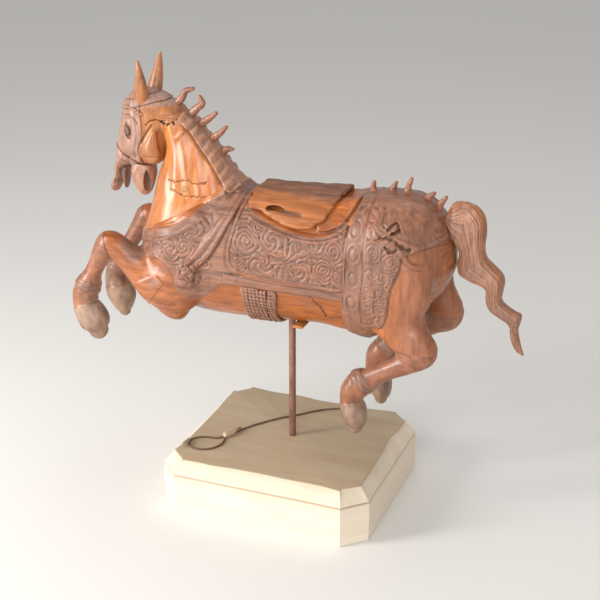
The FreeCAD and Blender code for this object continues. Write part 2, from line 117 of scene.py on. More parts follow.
def points_on_route(route):
    """Closely spaced points of the smooth line whose control points are the route."""
    curve = bpy.data.curves.new("route", "CURVE")
    curve.dimensions = "3D"
    spline = curve.splines.new("NURBS")
    spline.points.add(len(route) - 1)
    for point, at in zip(spline.points, route):
        point.co = (*at, 1.0)
    spline.order_u = 3
    spline.use_endpoint_u = True
    spline.resolution_u = 16
    holder = bpy.data.objects.new("route", curve)
    bpy.context.scene.collection.objects.link(holder)
    mesh = bpy.data.meshes.new_from_object(holder)
    found = [v.co.copy() for v in mesh.vertices]
    bpy.data.objects.remove(holder)
    bpy.data.curves.remove(curve)
    bpy.data.meshes.remove(mesh)
    return found


def sweep(bm, line, radii, sides=8):
    """Closed tube along a line of points."""
    rings = []
    tangent = (line[1] - line[0]).normalized()
    across = tangent.orthogonal().normalized()
    for i, at in enumerate(line):
        way = (line[min(i + 1, len(line) - 1)] - line[max(i - 1, 0)]).normalized()
        across = (across - way * across.dot(way)).normalized()
        other = way.cross(across)
        ring = []
        for k in range(sides):
            turn = 2 * math.pi * k / sides
            out = across * math.cos(turn) + other * math.sin(turn)
            ring.append(bm.verts.new(at + out * radii[i]))
        rings.append(ring)
    for a, b in zip(rings, rings[1:]):
        for k in range(sides):
            bm.faces.new((a[k], a[(k + 1) % sides], b[(k + 1) % sides], b[k]))
    bm.faces.new(rings[0][::-1])
    bm.faces.new(rings[-1])


def object_from(bm, name, smooth=True, sharp=None):
    mesh = bpy.data.meshes.new(name)
    bm.to_mesh(mesh)
    bm.free()
    mesh.polygons.foreach_set("use_smooth", [smooth] * len(mesh.polygons))
    if sharp:
        mesh.set_sharp_from_angle(angle=math.radians(sharp))
    piece = bpy.data.objects.new(name, mesh)
    bpy.context.scene.collection.objects.link(piece)
    return piece


def twisted(name, line):
    """Three plies laid round each other along a line."""
    bm = bmesh.new()
    run = [0.0]
    for a, b in zip(line, line[1:]):
        run.append(run[-1] + (b - a).length)
    ply = TWINE_RADIUS * 0.56
    for phase in range(PLIES):
        strand = []
        for i, at in enumerate(line):
            way = (line[min(i + 1, len(line) - 1)] - line[max(i - 1, 0)]).normalized()
            side = way.cross(Vector((0, 0, 1)))
            turn = 2 * math.pi * (run[i] / TWINE_PITCH + phase / PLIES)
            out = side * math.cos(turn) + Vector((0, 0, 1)) * math.sin(turn)
            strand.append(at + out * (TWINE_RADIUS - ply))
        sweep(bm, strand, [ply] * len(strand), 8)
    return object_from(bm, name)


def knot():
    bm = bmesh.new()
    for tilt, wide in KNOT_TURNS:
        radius = KNOT_RADIUS * wide
        ring = []
        for k in range(25):
            turn = 2 * math.pi * k / 24
            ring.append(KNOT_AT + Vector((radius * math.cos(turn), radius * math.sin(turn) * math.cos(tilt),
                                          radius * math.sin(turn) * math.sin(tilt))))
        sweep(bm, ring, [KNOT_CORD] * 25, 10)
    return object_from(bm, "twine_knot")


def bead():
    bm = bmesh.new()
    line = [BEAD_FROM.lerp(BEAD_TO, t) for t, r in BEAD_PROFILE]
    sweep(bm, line, [BEAD_RADIUS * r for t, r in BEAD_PROFILE], 28)
    return object_from(bm, "twine_bead")


def lay_twine():
    made = {}
    lines = {"twine_run": points_on_route(TWINE_RUN), "twine_loop": points_on_route(TWINE_LOOP)}
    for name, line in lines.items():
        made[name] = twisted(name, line)
    made["twine_knot"] = knot()
    made["twine_bead"] = bead()
    made["twine_tassel"] = tassel()
    for name, piece in made.items():
        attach(piece, "stand")
        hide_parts(name)
    for name, end, holds in (("twine_run", "knot", ["twine_knot", "twine_bead"]),
                             ("twine_loop", "object", ["twine_tassel"])):
        line = lines[name]
    return made


def tassel():
    bm = bmesh.new()
    rng = np.random.default_rng(11)
    for i in range(TASSEL_FIBRES):
        turn = rng.uniform(0, 2 * math.pi)
        out = TASSEL_SPREAD * math.sqrt(rng.uniform(0, 1))
        reach = TASSEL_LENGTH * rng.uniform(0.75, 0.98)
        wave = rng.uniform(0, 2 * math.pi)
        line = []
        for k in range(9):
            t = k / 8
            spread = out * (0.3 + 0.7 * t) * 0.9
            drop = 0.0009 * t * t
            line.append(TASSEL_AT + Vector((spread * math.cos(turn) + 0.0002 * math.sin(5 * t + wave),
                                            -reach * t,
                                            spread * math.sin(turn) * (1 - 0.35 * t) - drop)))
        sweep(bm, line, [0.00034 - 0.00016 * k / 8 for k in range(9)], 5)
    for k in range(4):
        ring = []
        for j in range(21):
            turn = 2 * math.pi * j / 20
            ring.append(TASSEL_AT + Vector((0.0013 * math.cos(turn), -0.0008 - 0.0007 * k,
                                            0.0013 * math.sin(turn))))
        sweep(bm, ring, [0.0004] * 21, 6)
    return object_from(bm, "twine_tassel")


twine = lay_twine()

# ---------------------------------------------------------------- curves and fields


def curve_through(rows, count=6):
    """Catmull-Rom curve through rows of numbers."""
    p = np.asarray(rows, float)
    p = np.vstack([2 * p[0] - p[1], p, 2 * p[-1] - p[-2]])
    t = np.arange(count)[:, None] / count
    runs = []
    for a, b, c, d in zip(p, p[1:], p[2:], p[3:]):
        runs.append(0.5 * (2 * b + (c - a) * t + (2 * a - 5 * b + 4 * c - d) * t ** 2
                           + (3 * b - a - 3 * c + d) * t ** 3))
    runs.append(p[-2:-1])
    return np.vstack(runs)


def loop_through(points, count=4):
    p = np.asarray(points, float)
    rows = np.vstack([p[-1:], p, p[:2]])
    curve = curve_through(rows, count)
    return curve[count:count * (len(p) + 1)]


def along(x, z, rows):
    """Distance of each point from a line in the side view, and the line's other columns there."""
    x, z = np.broadcast_arrays(x, z)
    best = np.full(x.shape, 1e9)
    values = np.zeros(x.shape + (rows.shape[1] - 2,))
    for a, b in zip(rows, rows[1:]):
        run = b[:2] - a[:2]
        t = np.clip(((x - a[0]) * run[0] + (z - a[1]) * run[1]) / max(run @ run, 1e-9), 0, 1)
        d = np.hypot(x - a[0] - t * run[0], z - a[1] - t * run[1])
        near = d < best
        best[near] = d[near]
        values[near] = a[2:] + t[near][:, None] * (b[2:] - a[2:])
    return best, values


def line_distance(x, z, points, count=6):
    return along(x, z, curve_through(points, count))[0]


def region(x, z, points, count=4):
    """Signed distance to a smooth closed outline in the side view, negative inside."""
    x, z = np.broadcast_arrays(x, z)
    loop = loop_through(points, count)
    best = along(x, z, np.vstack([loop, loop[:1]]))[0]
    inside = np.zeros(x.shape, bool)
    for a, b in zip(loop, np.roll(loop, -1, axis=0)):
        if a[1] != b[1]:
            crosses = (a[1] > z) != (b[1] > z)
            inside ^= crosses & (x < a[0] + (z - a[1]) * (b[0] - a[0]) / (b[1] - a[1]))
    return np.where(inside, -best, best)


def oval(q, y, depth, width):
    """About the distance from a surface of oval section, q in the side view and y across."""
    q = np.maximum(q, 0.01)
    k0 = np.sqrt((q / depth) ** 2 + (y / width) ** 2)
    k1 = np.sqrt((q / depth ** 2) ** 2 + (y / width ** 2) ** 2)
    return k0 * (k0 - 1) / k1


def smooth_min(a, b, k):
    h = np.clip(0.5 + 0.5 * (b - a) / k, 0, 1)
    return b * (1 - h) + a * h - k * h * (1 - h)


def step_up(value, low, high):
    t = np.clip((value - low) / (high - low), 0, 1)
    return t * t * (3 - 2 * t)


def flat(values):
    """A side view picture as a layer that is the same all across."""
    return values[:, None, :]


def limb(stations, y=0.0):
    """Rod-like form through stations: x, z, half depth, half width and, if it leans out, y."""
    rows = curve_through(stations)
    reach = rows[:, 2:4].max() + 2

    def make(x, yy, z):
        d, v = along(x[:, 0, :], z[0], rows)
        centre = flat(v[..., 2]) if rows.shape[1] > 4 else y
        return oval(flat(d), yy - centre, flat(v[..., 0]), flat(v[..., 1]))

    centres = rows[:, 4] if rows.shape[1] > 4 else np.array([y])
    low = (rows[:, 0].min() - reach, centres.min() - reach, rows[:, 1].min() - reach)
    high = (rows[:, 0].max() + reach, centres.max() + reach, rows[:, 1].max() + reach)
    return make, low, high


def soften(picture, reach):
    """Average over a square of cells."""
    for axis in (0, 1):
        count = picture.shape[axis]
        wider = np.pad(picture, [(reach, reach) if a == axis else (0, 0) for a in (0, 1)], mode="edge")
        runs = [np.take(wider, range(i, i + count), axis) for i in range(2 * reach + 1)]
        picture = sum(runs) / len(runs)
    return picture


def cushion(outline, width, rounding, y=0.0, melt=0.0):
    """Form with a given outline in the side view. width and rounding are functions of x and z.
    melt is how far, in mm, the roof-like edges on its flanks are rounded off."""
    points = np.asarray(outline, float)

    def make(x, yy, z):
        x2, z2 = np.broadcast_arrays(x[:, 0, :], z[0])
        r = rounding(x2, z2)
        d = region(x2, z2, outline)
        if melt and len(x2) > 2:
            reach = max(1, int(melt / (x2[1, 0] - x2[0, 0])))
            d = d + (soften(soften(d, reach), reach) - d) * step_up(-d, 1, 8)
        return oval(flat(r + d), yy - y, flat(r), flat(width(x2, z2)))

    reach = 16
    low = (points[:, 0].min() - reach, y - 62, points[:, 1].min() - reach)
    high = (points[:, 0].max() + reach, y + 62, points[:, 1].max() + reach)
    return make, low, high


def table(axis, rows):
    """Value that changes smoothly along x (axis 0) or z (axis 1)."""
    rows = sorted(rows)
    at = [r[0] for r in rows]
    value = [r[1] for r in rows]
    return lambda x, z: np.interp(x if axis == 0 else z, at, value)


class Block:
    """A grid of the field over one stretch of the horse."""

    def __init__(self, low, high, step):
        self.step = step
        self.axes = [np.arange(a, b + step, step) for a, b in zip(low, high)]
        self.field = np.full([len(a) for a in self.axes], 60.0, np.float32)

    def part(self, low, high, margin=0):
        found = []
        for axis, a, b in zip(self.axes, low, high):
            found.append(slice(np.searchsorted(axis, a - margin), np.searchsorted(axis, b + margin)))
        return tuple(found)

    def grids(self, where):
        x, y, z = [axis[s] for axis, s in zip(self.axes, where)]
        return x[:, None, None], y[None, :, None], z[None, None, :]

    def add(self, form, blend=5.0):
        make, low, high = form
        where = self.part(low, high, blend + 3)
        if min(s.stop - s.start for s in where) < 2:
            return
        here = self.field[where]
        here[...] = smooth_min(here, make(*self.grids(where)), blend)

    def carve(self, form, blend=2.0):
        make, low, high = form
        where = self.part(low, high, 2)
        if min(s.stop - s.start for s in where) < 2:
            return
        here = self.field[where]
        here[...] = -smooth_min(-here, make(*self.grids(where)), blend)

    def even_out(self, reach=14.0):
        """Turns the field into a true distance near the surface; returns how much it faces sideways."""
        gx, gy, gz = np.gradient(self.field, self.step)
        size = np.sqrt(gx * gx + gy * gy + gz * gz) + 1e-3
        far = self.field > reach
        self.field /= np.maximum(size, 0.25)
        self.field[far] = reach
        return np.abs(gy) / size

    def side_view(self):
        return np.meshgrid(self.axes[0], self.axes[2], indexing="ij")

    def surface(self):
        """Vertices and quads where the field is zero: one vertex in each cell that it crosses."""
        f = self.field
        below = f < 0
        count = sum(below[i:below.shape[0] - 1 + i, j:below.shape[1] - 1 + j, k:below.shape[2] - 1 + k]
                    .astype(np.int8) for i in (0, 1) for j in (0, 1) for k in (0, 1))
        active = (count > 0) & (count < 8)
        cells = np.argwhere(active)
        number = np.full(active.shape, -1, np.int64)
        number[active] = np.arange(len(cells))
        total = np.zeros((len(cells), 3))
        hits = np.zeros(len(cells))
        for axis in range(3):
            for i in (0, 1):
                for j in (0, 1):
                    start = np.insert([i, j], axis, 0)
                    end = start.copy()
                    end[axis] = 1
                    fa = f[tuple((cells + start).T)].astype(float)
                    fb = f[tuple((cells + end).T)].astype(float)
                    cross = (fa < 0) != (fb < 0)
                    t = np.where(cross, fa / np.where(cross, fa - fb, 1), 0)
                    point = start + t[:, None] * (end - start)
                    total += point * cross[:, None]
                    hits += cross
        origin = np.array([a[0] for a in self.axes])
        verts = origin + (cells + total / hits[:, None]) * self.step
        quads = []
        for axis in range(3):
            u, v = [a for a in range(3) if a != axis]
            first = np.take(below, range(below.shape[axis] - 1), axis)
            second = np.take(below, range(1, below.shape[axis]), axis)
            edges = np.argwhere(first != second)
            keep = (edges[:, u] > 0) & (edges[:, v] > 0)
            keep &= (edges[:, u] < active.shape[u]) & (edges[:, v] < active.shape[v])
            edges = edges[keep]
            corners = []
            for du, dv in ((1, 1), (0, 1), (0, 0), (1, 0)):
                at = edges.copy()
                at[:, u] -= du
                at[:, v] -= dv
                corners.append(number[tuple(at.T)])
            quad = np.stack(corners, 1)
            turn = first[tuple(edges.T)] == (axis == 1)
            quad[turn] = quad[turn][:, ::-1]
            quads.append(quad)
        return verts, np.vstack(quads)


def mesh_object(name, verts, faces):
    mesh = bpy.data.meshes.new(name)
    mesh.from_pydata((np.asarray(verts) * MM).tolist(), [], np.asarray(faces).tolist())
    mesh.polygons.foreach_set("use_smooth", [True] * len(mesh.polygons))
    piece = bpy.data.objects.new(name, mesh)
    bpy.context.scene.collection.objects.link(piece)
    return piece


def cut_block(verts, quads, planes, heart):
    """Closed part of a mesh on the inner side of planes (point, outward normal), nearest to heart."""
    bm = bmesh.new()
    made = [bm.verts.new(v) for v in verts]
    for quad in quads:
        bm.faces.new([made[i] for i in quad])
    for point, normal in planes:
        everything = bm.verts[:] + bm.edges[:] + bm.faces[:]
        cut = bmesh.ops.bisect_plane(bm, geom=everything, plane_co=point, plane_no=normal,
                                     clear_outer=True, dist=1e-4)
        edges = [e for e in cut["geom_cut"] if isinstance(e, bmesh.types.BMEdge) and e.is_boundary]
        bmesh.ops.holes_fill(bm, edges=edges, sides=0)
    keep_island(bm, Vector(heart))
    bmesh.ops.triangulate(bm, faces=[f for f in bm.faces if len(f.verts) > 4])
    return bm


def keep_island(bm, heart):
    """Drops the loose parts of the mesh that are further from heart than the nearest one."""
    left = set(bm.verts)
    islands = []
    while left:
        seed = left.pop()
        island = {seed}
        stack = [seed]
        while stack:
            for edge in stack.pop().link_edges:
                for vert in edge.verts:
                    if vert in left:
                        left.discard(vert)
                        island.add(vert)
                        stack.append(vert)
        islands.append(island)
    islands.sort(key=lambda island: min((v.co - heart).length for v in island))
    for island in islands[1:]:
        bmesh.ops.delete(bm, geom=list(island), context="VERTS")


# ---------------------------------------------------------------- the horse's forms

TRUNK_SIDE = [(-182, 286), (-179, 300), (-170, 314), (-150, 334), (-120, 350), (-95, 358), (-72, 361),
              (-30, 364), (17, 365), (55, 367), (80, 371), (100, 376), (122, 377), (140, 376), (156, 371),
              (168, 361), (177, 348), (184, 330), (187, 313), (186, 298), (180, 283), (172, 268), (158, 252),
              (140, 236), (122, 222), (106, 212), (92, 210), (78, 213), (60, 215), (40, 217), (18, 216),
              (-10, 214), (-50, 212), (-85, 211), (-112, 213), (-130, 219), (-146, 230), (-160, 245),
              (-172, 261), (-180, 274)]
TRUNK_WIDTH = table(0, [(-185, 45), (-140, 46), (-110, 47), (-72, 49), (-30, 51), (20, 52), (60, 52.5),
                        (110, 54), (135, 53), (160, 47), (190, 40)])
TRUNK_ROUND = table(0, [(-185, 48), (-100, 58), (0, 62), (100, 62), (190, 46)])
NECK_SIDE = [(-150, 392), (-155, 380), (-160, 366), (-164, 351), (-168, 336), (-171, 324), (-174, 308),
             (-168, 292), (-145, 286), (-110, 296), (-80, 318), (-58, 340), (-50, 356), (-56, 367),
             (-63, 375), (-71, 385), (-79, 395), (-87, 405), (-94, 413), (-102, 421), (-112, 432),
             (-122, 440), (-136, 448), (-150, 450), (-158, 440), (-154, 420), (-149, 405)]
NECK_WIDTH = table(1, [(290, 40), (320, 38), (337, 35), (356, 31.5), (380, 27), (402, 24), (418, 22),
                       (450, 20)])
NECK_ROUND = table(1, [(290, 40), (340, 40), (370, 36), (400, 30), (426, 26), (450, 24)])
HEAD_SIDE = [(-182, 462), (-190, 458.5), (-195.5, 453), (-199.5, 446), (-202.5, 436), (-205, 425),
             (-208, 411), (-210.5, 400), (-212.5, 388), (-214.5, 378), (-216, 369), (-216.5, 361),
             (-219.5, 353.5), (-222.5, 348), (-223, 342.5), (-219.5, 339.5), (-215, 340.5), (-211.5, 346),
             (-208, 354), (-205.5, 364), (-202, 371), (-194, 375), (-184, 377), (-172, 376), (-162, 377),
             (-155, 383), (-151, 392), (-149, 404), (-146, 416), (-138, 428), (-128, 436), (-128, 446),
             (-140, 453), (-152, 459), (-166, 463.5)]
HEAD_WIDTH = table(1, [(340, 8.5), (347, 11), (356, 12.5), (366, 14), (375, 15.5), (384, 17.5), (396, 19.5),
                       (410, 21.5), (425, 22), (440, 21.5), (452, 20), (464, 17)])
HEAD_ROUND = table(1, [(340, 6.5), (352, 7), (366, 8), (376, 14), (390, 22), (410, 25), (440, 24), (464, 18)])
JAW_SIDE = [(-196, 368), (-195, 359), (-193, 352), (-190, 344.5), (-186, 340.5), (-181, 338.5), (-175, 341),
            (-171, 347), (-167.5, 357), (-165.5, 368), (-168, 380), (-178, 384), (-191, 380)]
JAW_WIDTH = table(1, [(338, 6), (352, 10), (368, 12), (384, 10)])
JAW_ROUND = table(1, [(338, 6), (360, 10), (384, 10)])
TAIL_SIDE = [(172, 350), (176, 362), (181, 371), (190, 374), (203, 372), (211, 366.5), (216, 358), (218, 344),
             (217, 328), (219.5, 316), (228, 308), (236, 301), (240, 293), (239, 281), (238, 271), (243, 265),
             (252, 260), (260, 256), (259, 246), (257.5, 238), (262, 220), (265, 210.5), (260, 212),
             (254, 218), (249, 230), (247, 243), (236, 250), (225, 258), (220.5, 269), (219, 281), (203, 287),
             (191, 294), (188, 305), (189.5, 317), (184, 328), (177, 338)]
TAIL_WIDTH = table(1, [(208, 2), (226, 4.5), (245, 6.5), (270, 8.5), (300, 11), (340, 12), (375, 10)])
TAIL_ROUND = table(1, [(208, 4), (240, 6.5), (290, 9), (320, 13), (360, 17)])
SHOULDER = [(-112, 322, 24, 10), (-118, 300, 30, 15), (-124, 270, 30, 17), (-125, 246, 28, 16),
            (-124, 229, 20, 13.5), (-124, 221, 11, 10)]
THIGH = [(124, 318, 34, 13), (128, 300, 40, 17), (132, 276, 40, 18), (136, 250, 31.5, 15.5),
         (148, 229, 24, 13), (160, 216, 18.5, 12)]
FAR_THIGH = [(124, 318, 34, 13), (128, 300, 40, 17), (138, 278, 39, 17.5), (150, 258, 29, 15),
             (161, 242, 23, 13), (166, 231, 20, 12)]
FORE_LEFT = [(-134, 236, 22, 14), (-150, 244, 20.5, 14), (-164, 256, 18.5, 13.5), (-180, 272, 16.5, 13),
             (-197, 286, 15.5, 12.5), (-208, 289.5, 14.5, 12.5), (-216, 279, 12.5, 11.5), (-226, 261, 10, 10),
             (-233, 247, 11, 10.5), (-239, 234, 14.5, 12.5)]
FORE_LEFT_FOOT = [(-236, 240, 12, 11), (-243, 224, 15.5, 12), (-245.5, 211, 14, 11.5), (-238, 199, 18.5, 14),
                  (-232, 188, 17.5, 14.5), (-229, 180, 11, 10)]
FORE_RIGHT = [(-134, 238, 22, 14), (-148, 250, 20, 14), (-162, 266, 18, 13.5), (-178, 284, 16, 13),
              (-192, 297, 14.5, 12.5), (-201, 299, 13.5, 12), (-209, 288, 12, 11), (-224, 265, 10, 10),
              (-238, 243, 10.5, 10), (-246, 226, 13, 12)]
FORE_RIGHT_FOOT = [(-243, 232, 12, 11), (-249, 217, 13, 11), (-247, 205, 16, 13), (-242, 191, 17.5, 14),
                   (-240, 178, 11.5, 11), (-239, 171, 6, 7)]
HIND_LEFT = [(154, 224, 20, 13), (161, 214, 18.5, 12.5), (150, 201, 13.5, 11), (136, 192, 11, 10),
             (120, 182.5, 10.5, 10), (106, 173, 12.5, 11), (96, 167, 14.5, 12)]
HIND_LEFT_FOOT = [(97, 168, 14, 12), (88, 156, 14.5, 12.5), (86, 144, 12.5, 11.5), (89, 132, 14, 14),
                  (91.5, 121, 12, 13), (92, 113, 7, 8)]
HIND_RIGHT = [(160, 240, 22, 13), (166, 230, 20, 12.5), (152, 215, 13.5, 11), (136, 204.5, 11.5, 10.5),
              (120, 193, 12, 10.5), (106, 182, 14.5, 12.5)]
HIND_RIGHT_FOOT = [(103, 180, 15, 13), (93, 167, 16, 13), (89, 151, 13.5, 11.5), (93, 135, 13, 13.5),
                   (95, 121, 11, 12), (95, 112, 6.5, 7)]
EAR = [(-172, 452, 9, 7.5, 14), (-171, 463, 8.6, 6.8, 17), (-170, 475, 7, 5.5, 20.5),
       (-169, 487, 4.4, 3.6, 24), (-168, 497, 1.6, 1.4, 26.5)]
EAR_HOLLOW = [(-177, 459, 3.2, 3, -15.5), (-176.5, 468, 3.4, 3.2, -18.5), (-174, 480, 2.6, 2.4, -22.5),
              (-171, 490, 1.2, 1.2, -25.5)]


def mirrored(stations):
    return [row[:4] + (-row[4],) for row in stations]


BODY_FORMS = [(cushion(TRUNK_SIDE, TRUNK_WIDTH, TRUNK_ROUND, melt=7), 1),
              (cushion(NECK_SIDE, NECK_WIDTH, NECK_ROUND, melt=4), 9),
              (limb(SHOULDER, -FORE_Y + 2), 12), (limb(SHOULDER, FORE_Y - 2), 12),
              (limb(THIGH, -HIND_Y + 2), 12), (limb(FAR_THIGH, HIND_Y - 2), 12)]
LEG_ROOTS = [(limb(FORE_LEFT, -FORE_Y), 16), (limb(FORE_RIGHT, FORE_Y), 16),
             (limb(HIND_LEFT, -HIND_Y), 8), (limb(HIND_RIGHT, HIND_Y), 8)]
HEAD_FORMS = [(cushion(HEAD_SIDE, HEAD_WIDTH, HEAD_ROUND), 3)]


def joint_face(previous, at, following):
    """Where two runs of a leg meet in the side view: a point, and the direction towards the hoof."""
    one = Vector((at[0] - previous[0], 0, at[1] - previous[1])).normalized()
    two = Vector((following[0] - at[0], 0, following[1] - at[1])).normalized()
    return Vector((at[0], 0, at[1])), (one + two).normalized()


SEAT_UP = Vector((-math.sin(NECK_SEAT_TILT), 0, math.cos(NECK_SEAT_TILT)))
SEAT_POINT = Vector((NECK_SEAT[0], 0, NECK_SEAT[1]))
AHEAD = Vector((1, 0, 0))
OUT = Vector((0, 1, 0))

# Joint faces: a point and the direction towards the hoof
JOINTS = {
    "elbow_left": (Vector((-147, 0, 242)), Vector((-17, 0, 13)).normalized()),
    "elbow_right": (Vector((-145, 0, 246)), Vector((-15, 0, 17)).normalized()),
    "knee_left": joint_face((-196, 284), (-209, 290), (-217, 277)),
    "knee_right": joint_face((-191, 297), (-202, 300), (-210, 286)),
    "fore_fetlock_left": joint_face((-236, 241), (-240, 229), (-247, 215)),
    "fore_fetlock_right": joint_face((-240, 239), (-247, 222), (-249, 212)),
    "hock_left": joint_face((150, 228), (161, 213), (146, 198)),
    "hock_right": joint_face((158, 242), (167, 230), (148, 213)),
    "hind_fetlock_left": joint_face((111, 176), (94, 166), (86.5, 153)),
    "hind_fetlock_right": joint_face((113, 187), (98, 176), (90, 160))}


def beyond(joint):
    point, normal = JOINTS[joint]
    return point, -normal


# ---------------------------------------------------------------- carving


def bumps(x, y, z, size, seed):
    """Smooth random hills about as wide as size, from -1 to 1. size may differ along x, y and z."""
    lattice = np.random.default_rng(seed).uniform(-1, 1, (RNG_CELLS, RNG_CELLS, RNG_CELLS))
    cells = []
    for values, width in zip((x, y, z), size):
        t = np.asarray(values, float) / width + 500
        base = np.floor(t).astype(int)
        t = t - base
        cells.append((base % RNG_CELLS, (base + 1) % RNG_CELLS, t * t * (3 - 2 * t)))
    total = 0
    for i in (0, 1):
        for j in (0, 1):
            for k in (0, 1):
                weight = 1
                for corner, cell in zip((i, j, k), cells):
                    weight = weight * (cell[2] if corner else 1 - cell[2])
                total = total + weight * lattice[cells[0][i], cells[1][j], cells[2][k]]
    return total


def ridge(d, half, height):
    return height * np.sqrt(np.clip(1 - (d / half) ** 2, 0, 1))


def groove(d, half, depth):
    return -depth * np.clip(1 - (d / half) ** 2, 0, 1)


def swirls(x, z, centres):
    """Carved scrolls and leaves. Each centre: x, z, size, waves per mm outwards, arms, phase."""
    u = x + 2.6 * bumps(x, 0.0, z, (12, 12, 12), 31)
    w = z + 2.6 * bumps(x, 0.0, z, (12, 12, 12), 32)
    nearest = np.full(np.broadcast(x, z).shape, 1e9)
    second = nearest.copy()
    wave = np.zeros_like(nearest)
    for cx, cz, size, tightness, arms, phase in centres:
        out = np.hypot(u - cx, w - cz)
        turn = np.arctan2(w - cz, u - cx)
        ratio = out / size
        ahead = ratio < nearest
        second = np.where(ahead, nearest, np.minimum(second, ratio))
        nearest = np.where(ahead, ratio, nearest)
        swing = 2 * math.pi * LEAF_FINENESS * tightness * out - arms * turn + phase
        wave = np.where(ahead, 2 * np.abs(np.sin(swing / 2)) ** 0.7 - 1, wave)
    return wave - 1.2 * np.clip(1 - (second - nearest) / 0.12, 0, 1)


COLLAR_TOP = [(-180, 306), (-164, 309), (-142, 318), (-120, 326), (-100, 339), (-80, 356), (-60, 374),
              (-42, 388)]
COLLAR_LINE = [(-176, 296), (-154, 302), (-130, 309), (-110, 319), (-92, 332), (-75, 348), (-58, 366)]
COLLAR_PANEL = [(-150, 300), (-132, 307), (-112, 317), (-94, 330), (-80, 342), (-76, 330), (-86, 312),
                (-97, 294), (-108, 284), (-122, 281), (-136, 286)]
COLLAR_SWIRLS = [(-124, 298, 15, 0.14, 3, 0), (-108, 300, 12, 0.16, -2, 1), (-94, 316, 12, 0.1, 6, 0),
                 (-138, 297, 10, 0.15, 2, 1)]
COLLAR_STRAPS = [[(-103, 284), (-90, 297), (-76, 316), (-64, 338), (-54, 362)],
                 [(-95, 281), (-82, 293), (-69, 312), (-58, 334), (-49, 356)]]
COLLAR_AREA = [(-190, 300), (-164, 309), (-142, 318), (-120, 326), (-100, 339), (-80, 356), (-60, 374),
               (-45, 392), (-38, 380), (-46, 352), (-56, 330), (-66, 310), (-78, 292), (-92, 277),
               (-100, 256), (-116, 254), (-122, 272), (-140, 284), (-160, 280), (-176, 276)]
SKIRT_AREA = [(-120, 262), (-112, 246), (-98, 238), (-84, 246), (-62, 264), (-44, 272), (-44, 350),
              (-60, 346), (-90, 310), (-108, 284)]
CLOTH_PIPING = [(-41, 366), (-46, 345), (-51, 325), (-55, 304), (-54, 290), (-48, 282), (-36, 279), (0, 277),
                (40, 277), (77, 278)]
CLOTH_AREA = [(-41, 366), (-46, 345), (-51, 325), (-55, 304), (-54, 290), (-48, 282), (-36, 279), (0, 277),
              (40, 277), (79, 278), (79, 350), (60, 336), (40, 331), (5, 335), (-30, 348)]
CLOTH_SWIRLS = [(-33, 316, 15, 0.17, 1, 0), (-40, 292, 7, 0.24, -1, 1), (-19, 338, 8, 0.22, 1, 2),
                (-14, 296, 13, 0.10, 5, 0), (-2, 322, 13, 0.13, -3, 1), (12, 300, 15, 0.03, 13, 0),
                (27, 327, 9, 0.02, 12, 0), (30, 296, 12, 0.09, -6, 1), (44, 314, 12, 0.05, 9, 2),
                (57, 296, 12, 0.21, 1, 0), (68, 320, 10, 0.18, -1, 1), (72, 290, 8, 0.2, 1, 2)]
RIM_LINES = [[(-31, 349), (-15, 342), (5, 336), (28, 332), (48, 332), (66, 337), (79, 347), (87, 362),
              (92, 385)],
             [(-33, 342), (-15, 336), (5, 330.5), (28, 326.5), (48, 326.5), (66, 331), (78, 338)]]
CANTLE_AREA = [(30, 400), (42, 345), (52, 337), (66, 341), (77, 350), (85, 365), (90, 382), (92, 402)]
SKIRT_BAND = [(-62, 264), (-62, 277), (79, 276), (79, 264.5)]
GIRTH_AREA = [(-40, 180), (-41, 225), (-39, 250), (-40, 266), (-2, 266), (0, 245), (-4, 225), (-6, 180)]
CROUP_FRONT = [(92, 395), (87, 362), (80, 340), (79, 300), (79, 240), (79, 190)]
CROUP_AREA = [(77, 190), (78, 300), (80, 340), (86, 362), (91, 400), (175, 400), (186, 352), (184, 334),
              (163, 330), (152, 326), (143, 322), (141, 308), (134, 290), (131, 272), (129, 256), (122, 240),
              (106, 232), (98, 200)]
CROUP_INNER = [(103, 380), (101, 350), (101, 320), (102, 295), (99, 268), (99, 240)]
MEDALLIONS = [(91, 372), (90, 346), (91, 320), (91, 293), (89, 266)]
CROUP_SWIRLS = [(112, 326, 11, 0.2, 1, 0), (132, 318, 12, 0.2, -1, 1), (112, 352, 11, 0.07, 8, 0),
                (128, 352, 12, 0.05, -9, 1), (110, 303, 10, 0.13, 3, 1), (124, 299, 9, 0.16, -2, 0),
                (110, 281, 9, 0.2, 1, 2), (124, 280, 9, 0.15, 3, 0), (108, 262, 9, 0.2, -1, 1),
                (122, 262, 9, 0.2, 1, 0), (108, 244, 8, 0.16, 2, 1), (121, 246, 8, 0.2, -1, 2)]
CROUP_PANEL = [(104, 372), (104, 320), (103, 240), (118, 238), (128, 252), (133, 280), (141, 306), (144, 322),
               (136, 336), (126, 362)]
CROUP_STRAPS = [[(133, 343), (146, 338), (158, 333), (170, 335), (184, 341)],
                [(131, 336), (141, 330), (147, 320), (154, 314), (166, 312)]]
CHIPS = [[(118, 341), (127, 342), (135, 341)], [(126, 350), (132, 356), (137, 351), (131, 346)],
         [(129, 345), (138, 349)], [(136, 338), (143, 333), (150, 331)], [(125, 333), (131, 328), (137, 331)]]
ROSETTE = (-103, 272)
SIDE_CURLS = [(-84, 284, 9, 0.2, 1, 0), (-85, 266, 8, 0.22, -1, 1)]
NECK_CRACKS = [[(-137, 368), (-125, 368), (-113, 371), (-103, 368), (-90, 370)],
               [(-133, 359), (-124, 357), (-117, 354), (-106, 354), (-88, 355)]]
BELLY_CRACK = [(41, 264), (46, 258), (52, 252), (55, 244), (57, 240)]
NECK_STRAP = [(-92, 452), (-104, 440), (-120, 424), (-128, 415)]
MANE_EDGE = [(-136, 441), (-118, 425), (-106, 411), (-97, 400), (-86, 386), (-76, 371), (-66, 361)]
